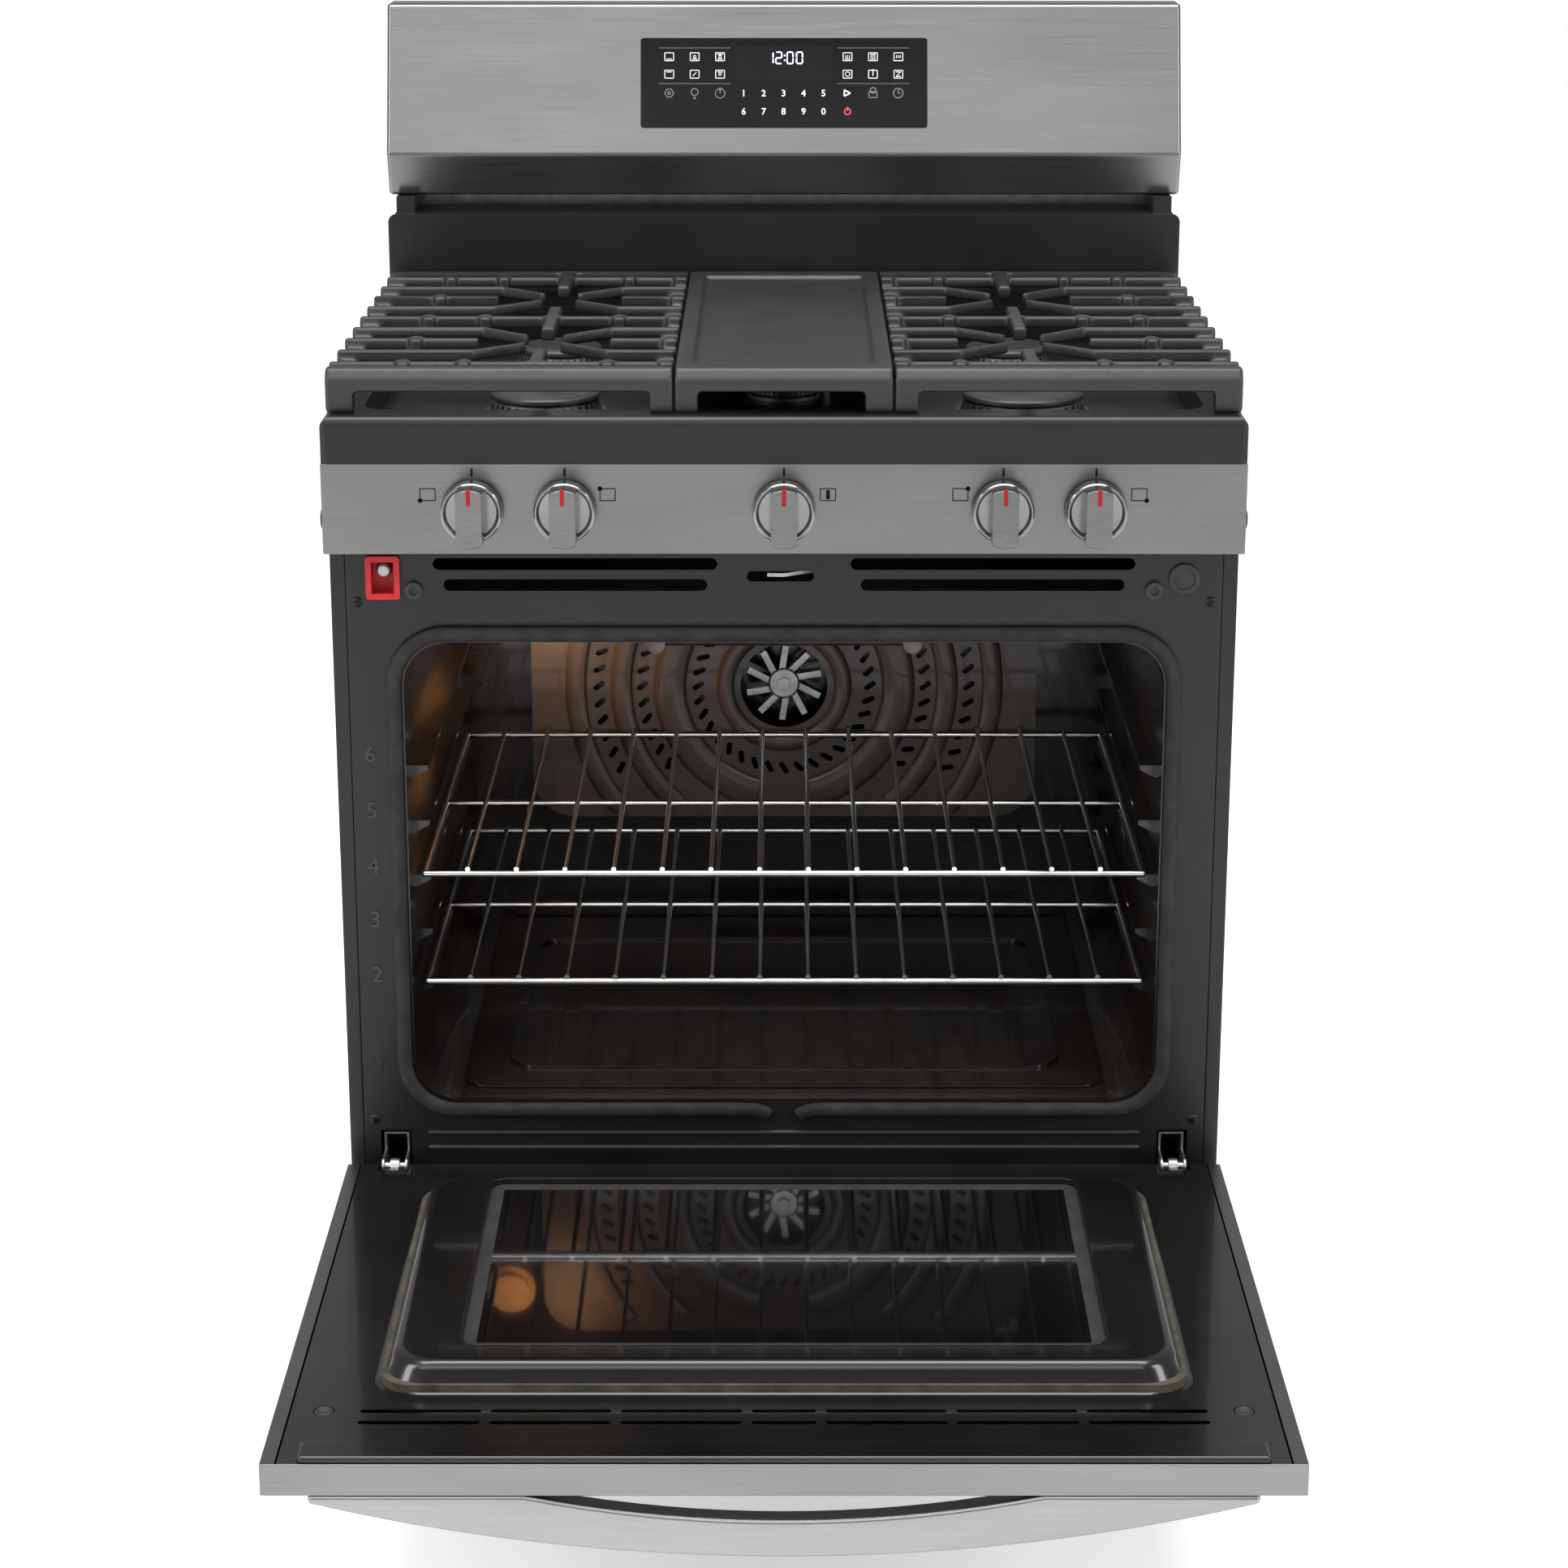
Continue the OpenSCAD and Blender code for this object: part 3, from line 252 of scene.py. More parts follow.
grate_iron = cast_iron("matt_cast_iron", "#0e0e0f", "#171718", 0.4)
cap_enamel = cast_iron("black_burner_cap_enamel", "#1d1d1e", "#2a2a2b", 0.35, 1.6)
print("iron:", grate_iron.name)

# %% [markdown]
# ## Plain metals, rubber, glass and insulation
# The smaller parts are simple commercial finishes: bright chrome wire, zinc-plated steel, turned
# brass, cast aluminium burner bases, moulded rubber and nylon. Each keeps a little mottling,
# because a perfectly even colour reads as plastic.

# %% Small-part finishes
def bare_metal(name, low, high, rough, mottle_mm=15, depth=0.02):
    finish, shader = new_finish(name, {"Metallic": 1.0})
    cloud = mottle(finish, mottle_mm, 3.0)
    fine = mottle(finish, 1.2, 2.0)
    feed(finish, shader, {"Base Color": shades(finish, cloud, low, high),
                          "Roughness": spread(finish, fine, rough, rough + 0.1),
                          "Normal": relief(finish, fine, depth, 0.3)})
    return finish


def moulded(name, low, high, rough, grain_mm=0.8, depth=0.04, shine=0.5):
    finish, shader = new_finish(name, {"IOR": 1.46, "Specular IOR Level": shine})
    grain = mottle(finish, grain_mm, 2.0)
    cloud = mottle(finish, 20, 2.0)
    feed(finish, shader, {"Base Color": shades(finish, cloud, low, high),
                          "Roughness": spread(finish, grain, rough, rough + 0.1),
                          "Normal": relief(finish, grain, depth, 0.4)})
    return finish


chrome_wire = bare_metal("bright_chrome_wire", "#b4b4b3", "#d2d2d0", 0.12)
zinc_steel = bare_metal("zinc_plated_steel", "#8d8e90", "#a9aaab", 0.32)
dull_steel = bare_metal("dull_oven_steel", "#5b5650", "#77716a", 0.38, 40)
burner_metal = bare_metal("cast_aluminium_burner", "#5c5c5c", "#7b7b7a", 0.4, 8, 0.06)
sooty_steel = bare_metal("heat_darkened_steel", "#1f1c1a", "#2f2a27", 0.5, 20)
brass = bare_metal("turned_brass", "#a58246", "#c9a45e", 0.28)
red_nylon = moulded("moulded_red_nylon", "#9e1d22", "#b32429", 0.4, shine=0.3)
stripe_red = moulded("moulded_red_stripe", "#7d1418", "#8f1b1f", 0.5, shine=0.15)
black_rubber = moulded("black_rubber", "#1b1b1c", "#262627", 0.6)
green_board = moulded("green_circuit_board", "#1d4a30", "#2a6040", 0.4, 2.0)
ceramic = moulded("glazed_ceramic", "#d8d2c4", "#ebe6da", 0.25)
mineral_wool = moulded("mineral_wool_blanket", "#2e2a24", "#4a443a", 0.95, 1.5, 0.8)
mark_white = moulded("printed_white_ink", "#d9dcdd", "#eef0f0", 0.5)
mark_red = moulded("printed_red_ink", "#c93a3b", "#dd4546", 0.45)
mark_black = moulded("printed_black_ink", "#060606", "#0e0e0e", 0.7, shine=0.1)
print("small finishes made")

# %% [markdown]
# ## Glass
# The console and the outer window are tempered glass with a black ceramic print fired on the
# back, so what is seen is a deep black under a hard clear surface. The inner window is smoked:
# it mirrors the oven above it, while the console's has a coating that keeps glare down.

# %% Glass finishes
def glass_skin(name, low, high, rough, coat=1.0, shine=0.5):
    finish, shader = new_finish(name, {"IOR": 1.52, "Specular IOR Level": shine,
                                       "Coat Weight": coat, "Coat Roughness": 0.02})
    cloud = mottle(finish, 150, 2.0)
    feed(finish, shader, {"Base Color": shades(finish, cloud, low, high),
                          "Roughness": spread(finish, cloud, rough, rough + 0.03)})
    return finish


black_glass = glass_skin("black_printed_glass", "#0a0a0b", "#101012", 0.12, 0.0, 0.12)
smoked_glass = glass_skin("smoked_window_glass", "#060606", "#0c0c0d", 0.04)
lamp_glass, lamp_shader = new_finish("warm_lamp_glass", {
    "IOR": 1.5, "Roughness": 0.25, "Emission Color": hex_colour("#ffc27a"),
    "Emission Strength": 0.12})
feed(lamp_glass, lamp_shader, {
    "Base Color": shades(lamp_glass, mottle(lamp_glass, 6), "#7d6244", "#94744f")})
print("glass:", black_glass.name, smoked_glass.name)

# %% [markdown]
# ## Each CAD part gets its finish
# The record names a finish slot for every part. This table turns slots into the finishes above,
# and every part starts with its slot's finish; some are replaced by finer pieces further on.

# %% Assign finishes by slot
by_slot = {
    "stainless": stainless, "handle_metal": handle_steel, "knob_metal": knob_steel,
    "black_enamel": black_enamel, "porcelain": oven_porcelain, "cast_iron": grate_iron,
    "burner_metal": burner_metal, "rack_chrome": chrome_wire, "baffle_metal": dull_steel,
    "bare_steel": zinc_steel, "brass": brass, "gasket_braid": ceramic,
    "insulation": mineral_wool, "black_glass": black_glass, "smoked_glass": smoked_glass,
    "lamp_glass": lamp_glass, "circuit_board": green_board, "red_plastic": red_nylon,
    "black_rubber": black_rubber, "electrode_ceramic": ceramic,
}
slot_of = {s["node"]: s["material_slot"] for s in frame["record"]["subparts"]}
body_of = {n: b for b, members in frame["record"]["behaviour"]["bodies"].items()
           for n in members}
finish_of = {name: by_slot[slot_of[name]] for name in frame["nodes"]}
finish_of["broil_burner"] = finish_of["bake_burner"] = sooty_steel    # years beside a flame
finish_of["door_glass_outer"] = black_glass
for name, part in frame["nodes"].items():
    part.data.materials.clear()
    part.data.materials.append(finish_of[name])
print("finished", len(frame["nodes"]), "parts")

# %% [markdown]
# ## Tools for modelling by hand
# Everything below is done the way it is done in the editor: pick an object, change its mesh with
# an operator, finish it with a modifier that is then applied. Operators act on whatever is
# selected, so `only` deselects everything else first. `cad_copy` takes a CAD part's triangles,
# welds them and dissolves the flat ones, because a bevel needs real edges between real faces.

# %% Selection and modifiers
def only(obj):
    bpy.ops.object.select_all(action="DESELECT")
    obj.select_set(True)
    bpy.context.view_layer.objects.active = obj
    return obj


def pick(obj, test, kind="EDGE"):
    """Goes into edit mode with just the edges or faces that the test accepts."""
    only(obj)
    bpy.ops.object.mode_set(mode="EDIT")
    bpy.ops.mesh.select_mode(type=kind)
    bpy.ops.mesh.select_all(action="DESELECT")
    bpy.ops.object.mode_set(mode="OBJECT")
    mesh = obj.data
    if kind == "EDGE":
        for edge in mesh.edges:
            edge.select = test(*[mesh.vertices[v].co for v in edge.vertices])
    elif kind == "FACE":
        for face in mesh.polygons:
            face.select = test(face)
    else:
        for vertex in mesh.vertices:
            vertex.select = test(vertex.co)
    bpy.ops.object.mode_set(mode="EDIT")


def done():
    bpy.ops.object.mode_set(mode="OBJECT")


def modify(obj, kind, **settings):
    """Adds a modifier and applies it at once."""
    only(obj)
    step = obj.modifiers.new(kind.lower(), kind)
    for key, value in settings.items():
        setattr(step, key, value)
    bpy.ops.object.modifier_apply(modifier=step.name)
    return obj


def settle(obj):
    """Puts the object's place into its mesh."""
    only(obj)
    bpy.ops.object.transform_apply(location=True, rotation=True, scale=True)
    return obj


print("selection tools ready")


# %% Joining, copying and hand-over
def joined(name, objects):
    bpy.ops.object.select_all(action="DESELECT")
    for obj in objects:
        obj.select_set(True)
    bpy.context.view_layer.objects.active = objects[0]
    bpy.ops.object.join()
    objects[0].name = name
    return settle(objects[0])


def twin(obj, name, move=(0, 0, 0)):
    """A copy with its own mesh, moved by so much."""
    new = bpy.data.objects.new(name, obj.data.copy())
    bpy.context.scene.collection.objects.link(new)
    new.data.transform(Matrix.Translation(move))
    return new


def keep(obj, name, body, finish, nodes=(), angle=35):
    """Names a finished piece, gives it its finish, and ties it to the CAD model."""
    settle(obj)
    obj.name = name
    obj.data.name = name
    only(obj)
    bpy.ops.object.shade_smooth_by_angle(angle=math.radians(angle))
    if angle < 60:      # flat sheets stay flat: their own large faces decide the shading
        modify(obj, "WEIGHTED_NORMAL", weight=100, keep_sharp=True)
    obj.data.materials.clear()
    obj.data.materials.append(finish)
    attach(obj, body)
    if nodes:
        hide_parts(*nodes)
    pieces.append((name, len(obj.data.polygons)))
    return obj


def cad_copy(node, name):
    obj = bpy.data.objects.new(name, frame["nodes"][node].data.copy())
    bpy.context.scene.collection.objects.link(obj)
    only(obj)
    bpy.ops.mesh.customdata_custom_splitnormals_clear()
    bpy.ops.object.mode_set(mode="EDIT")
    bpy.ops.mesh.select_all(action="SELECT")
    bpy.ops.mesh.remove_doubles(threshold=0.01 * MM)
    bpy.ops.mesh.dissolve_limited(angle_limit=math.radians(0.5))
    done()
    return obj


pieces = []
print("tools ready")

# %% [markdown]
# ## Soft edges on the smaller parts
# No pressed, cast or moulded part has a knife edge, and the thin light line along an edge is what
# tells the eye that it is a real object. Each part here keeps its CAD shape and gets a small
# bevel: half the sheet's thickness on folded sheet, a millimetre or more on solid pieces.

# %% Soften parts
soft_edges = {
    "base_frame": 0.5, "leveling_feet": 0.8, "front_frame": 0.45, "oven_floor_panel": 0.5,
    "broil_burner": 0.5, "gas_regulator": 1.2, "drawer_rails": 0.5, "switch_housing": 0.6,
    "hinge_receivers": 0.4, "door_latch": 0.3, "door_hinge_arms": 0.5, "frame_bumpers": 0.5,
    "backsplash_panel": 0.5, "drawer_box": 0.4, "console_board": 0.3, "fan_motor": 1.0,
    "switch_plunger": 0.5,
}
for node, width in soft_edges.items():
    soft = cad_copy(node, node + "_soft")
    modify(soft, "BEVEL", width=width * MM, segments=2, limit_method="ANGLE",
           angle_limit=math.radians(40), use_clamp_overlap=True)
    keep(soft, node + "_soft", body_of[node], finish_of[node], [node])
print("softened", len(soft_edges), "parts")

# %% [markdown]
# ## Rounded sheet corners
# The control panel, the drawer front, the door skin and the side panels are deep pressings, whose
# outer corners have a radius of several millimetres, and the rear cover and the inner glass get
# small radii too. Those corners are exactly the edges that lie on two faces of the part's own
# bounding box, so they are picked that way.

# %% Round the big pressings
def on_box_edge(lo, hi, slack=0.05 * MM):
    def test(a, b):
        shared = 0
        for axis in range(3):
            for limit in (lo[axis], hi[axis]):
                if abs(a[axis] - limit) < slack and abs(b[axis] - limit) < slack:
                    shared += 1
        return shared >= 2 and (a - b).length > 4 * MM
    return test


for node, radius in {"control_panel": 2.2, "drawer_front": 2.2, "door_skin": 1.6,
                     "side_panel_left": 1.2, "side_panel_right": 1.2,
                     "rear_cover": 0.8, "door_glass_inner": 0.4}.items():
    sheet = cad_copy(node, node + "_pressed")
    pick(sheet, on_box_edge(*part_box(node)))
    bpy.ops.mesh.bevel(offset=radius * MM, segments=3, affect="EDGES", clamp_overlap=True)
    done()
    keep(sheet, node + "_pressed", body_of[node], finish_of[node], [node])
print("pressings:", pieces[-7:])

# %% [markdown]
# ## The console
# A wedge of stainless sheet stands on the back of the cooktop. Its face leans back eighteen
# degrees and folds under into a short chin. It is cut here from one block with two slanting
# bisect planes, and then every fold gets its radius, which catches the light along the top.

# %% Console shell
console_lo, console_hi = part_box("console_housing")
fold = Vector((0, front + 556 * MM, console_lo.z + 40 * MM))
head = Vector((0, front + 601 * MM, console_hi.z))
chin = Vector((0, front + 569 * MM, console_lo.z))
size = console_hi - console_lo
bpy.ops.object.select_all(action="DESELECT")
bpy.ops.mesh.primitive_cube_add(size=1, location=(console_lo + console_hi) / 2, scale=size)
shell = settle(bpy.context.active_object)
for low, high in ((fold, head), (chin, fold)):
    slope = high - low
    outward = Vector((0, -slope.z, slope.y))
    pick(shell, lambda a, b: True)
    bpy.ops.mesh.bisect(plane_co=low, plane_no=outward, use_fill=True, clear_outer=True)
    done()
modify(shell, "BEVEL", width=3.2 * MM, segments=4, limit_method="ANGLE",
       angle_limit=math.radians(20))
keep(shell, "console_shell", "range_body", stainless, ["console_housing"])
tilt = math.atan2(head.y - fold.y, head.z - fold.z)
print("console leans back", round(math.degrees(tilt), 1), "degrees")

# %% [markdown]
# ## The display
# A sheet of black glass with rounded corners lies on the console's face. Its clock is a row of
# seven-bar digits, and under and beside it are printed touch marks. They are drawn flat at the
# world's centre, in millimetres, from three strokes: a bar, a ring and a built-in font digit.
# Then the whole drawing is tilted onto the glass in one step.

# %% Glass
glass = cad_copy("console_glass", "display_glass")
along = Vector((0, math.sin(tilt), math.cos(tilt)))       # up the console's face
outward = Vector((0, -math.cos(tilt), math.sin(tilt)))    # straight out of it


def is_corner(a, b):
    return abs((b - a).normalized().dot(outward)) > 0.99


pick(glass, is_corner)
bpy.ops.mesh.bevel(offset=3 * MM, segments=5, affect="EDGES")
done()
modify(glass, "BEVEL", width=0.35 * MM, segments=2, limit_method="ANGLE",
       angle_limit=math.radians(50))
keep(glass, "display_glass", "range_body", black_glass, ["console_glass"])

# %% Strokes
stroke_high = 0.12 * MM


def bar(x0, y0, x1, y1, width):
    """A straight stroke between two points of the drawing, in millimetres."""
    reach = math.hypot(x1 - x0, y1 - y0)
    bpy.ops.mesh.primitive_cube_add(
        size=1, location=((x0 + x1) / 2 * MM, (y0 + y1) / 2 * MM, stroke_high / 2),
        rotation=(0, 0, math.atan2(y1 - y0, x1 - x0)),
        scale=(max(reach, width) * MM, width * MM, stroke_high))
    return settle(bpy.context.active_object)


def ring(x, y, radius, width, sides=24):
    bpy.ops.mesh.primitive_torus_add(
        location=(x * MM, y * MM, stroke_high / 2), major_radius=radius * MM,
        minor_radius=width / 2 * MM, major_segments=sides, minor_segments=6)
    obj = bpy.context.active_object
    obj.scale = (1, 1, stroke_high / (width * MM))
    return settle(obj)


def digit(text, x, y, height):
    """A printed number, made a mesh before its place is applied."""
    bpy.ops.object.text_add(location=(0, 0, 0))
    obj = bpy.context.active_object
    obj.data.body = text
    obj.data.align_x = "CENTER"
    obj.data.align_y = "CENTER"
    obj.data.size = height * 1.38 * MM
    obj.data.extrude = stroke_high / 2
    obj.data.offset = 0.012 * height * MM
    obj.data.resolution_u = 3
    only(obj)
    bpy.ops.object.convert(target="MESH")
    obj = bpy.context.active_object
    obj.location = (x * MM, y * MM, stroke_high / 2)
    return settle(obj)


def outline(x, y, wide, high, width):
    """A rectangle of four strokes."""
    left, right, low, top = x - wide / 2, x + wide / 2, y - high / 2, y + high / 2
    return [bar(left, low, right, low, width), bar(left, top, right, top, width),
            bar(left, low, left, top, width), bar(right, low, right, top, width)]


print("strokes ready")

# %% Clock, keypad and touch marks
segments = {"a": (0, 1, 1, 1), "b": (1, 0.5, 1, 1), "c": (1, 0, 1, 0.5), "d": (0, 0, 1, 0),
            "e": (0, 0, 0, 0.5), "f": (0, 0.5, 0, 1), "g": (0, 0.5, 1, 0.5)}
lit = [(-16.0, "bc"), (-7.7, "abged"), (3.0, "abcdef"), (12.0, "abcdef")]
clock = []
for left, bars in lit:
    for name in bars:
        x0, y0, x1, y1 = segments[name]
        wide, high, gap = 5.6, 11.0, 0.5
        ax, ay, bx, by = left + x0 * wide, 18.4 + y0 * high, left + x1 * wide, 18.4 + y1 * high
        if ay == by:
            clock.append(bar(ax + gap, ay, bx - gap, by, 1.05))
        else:
            clock.append(bar(ax, ay + gap, bx, by - gap, 1.05))
clock += [bar(0.5, 21.6, 0.6, 21.6, 1.2), bar(0.5, 26.2, 0.6, 26.2, 1.2)]
marks = []
for column in range(5):
    x = -38.5 + 19.05 * column
    marks.append(digit(str(column + 1), x, -10.4, 6.4))
    marks.append(digit(str((column + 6) % 10), x, -27.9, 6.4))
for corner in ((57.6, -13.0, 57.6, -7.0), (57.6, -7.0, 63.4, -10.0), (57.6, -13.0, 63.4, -10.0)):
    marks.append(bar(*corner, 1.1))
faint = [ring(-109.7, -10, 4.3, 0.7, 6), ring(-109.7, -10, 1.4, 0.7, 10),
         ring(-85.4, -9, 3.3, 0.7), bar(-86.6, -14.2, -84.2, -14.2, 0.8),
         bar(-86.4, -15.4, -84.4, -15.4, 0.7),
         ring(-61.1, -10.3, 4.5, 0.7), bar(-61.1, -10, -61.1, -4.4, 0.8),
         ring(109.1, -10, 4.6, 0.7), bar(109.1, -10, 109.1, -6.6, 0.7),
         bar(109.1, -10, 111.6, -10, 0.7), ring(85, -7.4, 2.7, 0.7)]
faint += outline(85, -11.4, 7.6, 5.8, 0.7)
for side in (-1, 1):
    for height in (33.5, -0.8):
        faint.append(bar(side * 119.6, height, side * 51, height, 0.35))
print("drawn", len(clock) + len(marks) + len(faint), "strokes")

# %% [markdown]
# ### Cooking-mode marks
# Twelve keys choose how the oven heats. A small square stands for the oven: a bar at its floor is
# heat from below, a bar at its roof is heat from above, a ring is the fan, a tall bar is a probe.

# %% Cooking-mode marks
modes = [("d",), ("d", "o"), ("u", "d", "o"), ("u",), ("x",), ("o", "u"),
         ("d", "w"), ("u", "d", "w"), ("w",), ("t",), ("p",), ("x", "u", "d")]
for index, inside in enumerate(modes):
    block, key = divmod(index, 6)
    x = (-109.7 if block == 0 else 60.7) + 24.3 * (key % 3)
    y = 25.0 if key < 3 else 8.2
    marks += outline(x, y, 8.4, 7.6, 0.55)
    if "d" in inside:
        marks.append(bar(x - 2.5, y - 2.2, x + 2.5, y - 2.2, 0.6))
    if "u" in inside:
        marks.append(bar(x - 2.5, y + 2.2, x + 2.5, y + 2.2, 0.6))
    if "o" in inside:
        marks.append(ring(x, y, 1.2, 0.5, 12))
    if "x" in inside:
        marks.append(bar(x - 1.6, y - 1.6, x + 1.6, y + 1.6, 0.5))
    if "w" in inside:
        marks += [bar(x + dx, y - 1.2, x + dx, y + 1.4, 0.5) for dx in (-1.8, 0, 1.8)]
    if "t" in inside:
        marks.append(ring(x, y, 2.2, 0.5, 14))
    if "p" in inside:
        marks.append(bar(x, y - 1.4, x, y + 4.8, 0.7))
print("mode marks:", len(modes))

# %% Lay the drawing on the glass
grey_ink = moulded("printed_grey_ink", "#6a6c6c", "#777979", 0.5)
display_pane = glass_skin("display_window_glass", "#121213", "#18181a", 0.12, 0.0, 0.1)
clock_light, clock_shader = new_finish("lit_clock_segments", {
    "Roughness": 0.4, "Emission Color": hex_colour("#e4f1ff"), "Emission Strength": 0.9})
feed(clock_light, clock_shader, {
    "Base Color": shades(clock_light, mottle(clock_light, 4), "#dce8f2", "#f2f8ff")})
glass_middle = fold + 69 * MM * along + 1.03 * MM * outward
onto_glass = Matrix.Translation(glass_middle) @ Matrix.Rotation(math.pi / 2 - tilt, 4, "X")
window = bar(-46.5, 18.8, 46.5, 18.8, 32.5)
window.data.transform(Matrix.Diagonal((1, 1, 0.4, 1)))
red_mark = [ring(60.7, -27.8, 2.9, 1.1), bar(60.7, -27.2, 60.7, -23.6, 1.1)]
for name, strokes, ink in (("clock_digits", clock, clock_light), ("touch_marks", marks, mark_white),
                           ("faint_touch_marks", faint, grey_ink),
                           ("off_mark", red_mark, mark_red),
                           ("clock_window", [window], display_pane)):
    drawing = joined(name, strokes)
    drawing.data.transform(onto_glass)
    keep(drawing, name, "range_body", ink, angle=20)
print("display drawn:", pieces[-5:])

# %% [markdown]
# ## Knobs
# Each knob is a turned stainless disc with a bright chamfered rim, a dished face and a broad grip
# bar across it. The profile is drawn as a line and spun round the stem. The grip is a short
# cylinder, cut flat on both sides. A red stripe runs over its upper end to show where the knob
# points.

# %% Knob sizes and turning tools
knob_lo, knob_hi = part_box("knob_3")
knob_z = (knob_lo.z + knob_hi.z) / 2
knob_xs = [(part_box(f"knob_{i}")[0].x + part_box(f"knob_{i}")[1].x) / 2 for i in range(1, 6)]
knob_r = (knob_hi.z - knob_lo.z) / 2
grip_half = 10.7 * MM


def spun(profile, steps=64):
    """Spins a profile of radius and height round Z; heights and radii are in metres."""
    bpy.ops.object.select_all(action="DESELECT")
    bpy.ops.mesh.primitive_plane_add(size=1 * MM)
    obj = bpy.context.active_object
    bpy.ops.object.mode_set(mode="EDIT")
    bpy.ops.mesh.delete(type="VERT")
    done()
    obj.data.from_pydata([(r, 0, h) for r, h in profile],
                         [(i, i + 1) for i in range(len(profile) - 1)], [])
    obj.data.update()
    only(obj)
    bpy.ops.object.mode_set(mode="EDIT")
    bpy.ops.mesh.select_all(action="SELECT")
    bpy.ops.mesh.spin(steps=steps, angle=2 * math.pi, center=(0, 0, 0), axis=(0, 0, 1))
    bpy.ops.mesh.select_all(action="SELECT")
    bpy.ops.mesh.remove_doubles(threshold=0.005 * MM)
    bpy.ops.mesh.normals_make_consistent(inside=False)
    done()
    return obj


def rounded_block(lo, hi, radius, segments=3):
    """A block between two corners with all its edges rounded."""
    lo, hi = Vector(lo), Vector(hi)
    bpy.ops.object.select_all(action="DESELECT")
    bpy.ops.mesh.primitive_cube_add(size=1, location=(lo + hi) / 2, scale=hi - lo)
    obj = settle(bpy.context.active_object)
    return modify(obj, "BEVEL", width=radius, segments=segments, limit_method="ANGLE")


print("spinning and block tools ready")

# %% Knob disc and grip
disc_profile = [(4.1, 0.2), (knob_r / MM - 1.2, 0.2), (knob_r / MM - 0.2, 1.0),
                (knob_r / MM - 0.1, 2.5), (knob_r / MM - 0.9, 11.2), (knob_r / MM - 1.8, 12.0),
                (knob_r / MM - 3.0, 12.0), (knob_r / MM - 4.0, 11.2),
                (knob_r / MM - 4.6, 8.6), (knob_r / MM - 5.6, 8.2), (0.0, 8.6)]
disc = spun([(r * MM, h * MM) for r, h in disc_profile])
bpy.ops.object.select_all(action="DESELECT")
bpy.ops.mesh.primitive_cylinder_add(vertices=96, radius=24.2 * MM, depth=28.5 * MM,
                                    location=(0, 0, 20.7 * MM))
grip = settle(bpy.context.active_object)
for side in (-1, 1):
    pick(grip, lambda a, b: True)
    bpy.ops.mesh.bisect(plane_co=(side * grip_half, 0, 0), plane_no=(side, 0, 0), use_fill=True,
                        clear_outer=True)
    done()
modify(grip, "BEVEL", width=0.7 * MM, segments=3, limit_method="ANGLE",
       angle_limit=math.radians(40))
print("knob disc and grip:", len(disc.data.polygons), len(grip.data.polygons))

# %% Indicator stripe and placing
stripe = rounded_block((-1.9 * MM, 11.2 * MM, 30 * MM), (1.9 * MM, 24.45 * MM, 35.15 * MM),
                       0.5 * MM)
stand = Matrix.Rotation(math.pi / 2, 4, "X")
for index, x in enumerate(knob_xs):
    spot = Matrix.Translation((x, knob_hi.y, knob_z)) @ stand
    for source, name, finish, nodes in ((disc, "knob_disc", polished, [f"knob_{index + 1}"]),
                                        (grip, "knob_grip", knob_steel, []),
                                        (stripe, "knob_stripe", stripe_red, [])):
        copy = twin(source, f"{name}_{index + 1}")
        copy.data.transform(spot)
        keep(copy, f"{name}_{index + 1}", f"dial_{index + 1}", finish, nodes)
for source in (disc, grip, stripe):
    bpy.data.objects.remove(source)
print("knobs at", [round(x, 4) for x in knob_xs])

# %% [markdown]
# ## Printed marks on the control panel
# Above each knob is a short black tick, and beside it a rectangle for the cooktop with a dot at
# the burner that it feeds; the middle one has a bar for the long middle burner.

# %% Panel marks
stroke_high = 0.1 * MM
panel_marks = []
for x in knob_xs:
    panel_marks.append(bar(x / MM, 27.6, x / MM, 34.4, 1.9))
maps = [(-292, -1, -1), (-144.5, -1, 1), (36, 0, 0), (144.5, 1, 1), (291, 1, -1)]
for x, side, up in maps:
    if side:
        panel_marks += outline(x, 12.5, 12.5, 10, 0.85)
        panel_marks.append(ring(x + side * 6.2, 12.5 + up * 5, 1.3, 1.5, 12))
        panel_marks.append(bar(x + side * 6.2 - 0.4, 12.5 + up * 5, x + side * 6.2 + 0.4,
                               12.5 + up * 5, 1.8))
    else:
        panel_marks += outline(x, 12.5, 12.5, 10, 0.85)
        panel_marks.append(bar(x, 8.6, x, 16.4, 3.2))
drawing = joined("panel_marks", panel_marks)
drawing.data.transform(Matrix.Translation((0, front - 0.02 * MM, knob_z)) @ stand)
keep(drawing, "panel_marks", "range_body", mark_black, angle=20)
print("panel marks:", len(maps))

# %% [markdown]
# ## Grates and griddle
# Cast iron flows into the mould's corners and leaves them round. A voxel remesh rebuilds each
# grate as one even skin, 2 mm between points, and a little smoothing then melts its edges the
# way a casting's are, which a bevel can't do where a dozen bars meet.

# %% Cast pieces
def cast(node, name, voxel_mm, finish, passes=3):
    obj = cad_copy(node, name)
    modify(obj, "REMESH", mode="VOXEL", voxel_size=voxel_mm * MM)
    modify(obj, "SMOOTH", factor=0.5, iterations=passes)
    return keep(obj, name, body_of[node], finish, [node], angle=60)


cast("grate_left", "grate_left_casting", 2.0, grate_iron)
cast("grate_right", "grate_right_casting", 2.0, grate_iron)
cast("griddle_plate", "griddle_casting", 2.0, grate_iron, 2)
print("castings:", pieces[-3:])

# %% [markdown]
# ## Burners
# A cast aluminium ring with slots round its wall spreads the gas, and an enamelled cap closes it.
# Each ring is one spun profile; every second face of its wall is then pushed in to make a port.
# The long middle burner is the same ring, pulled apart at its middle.

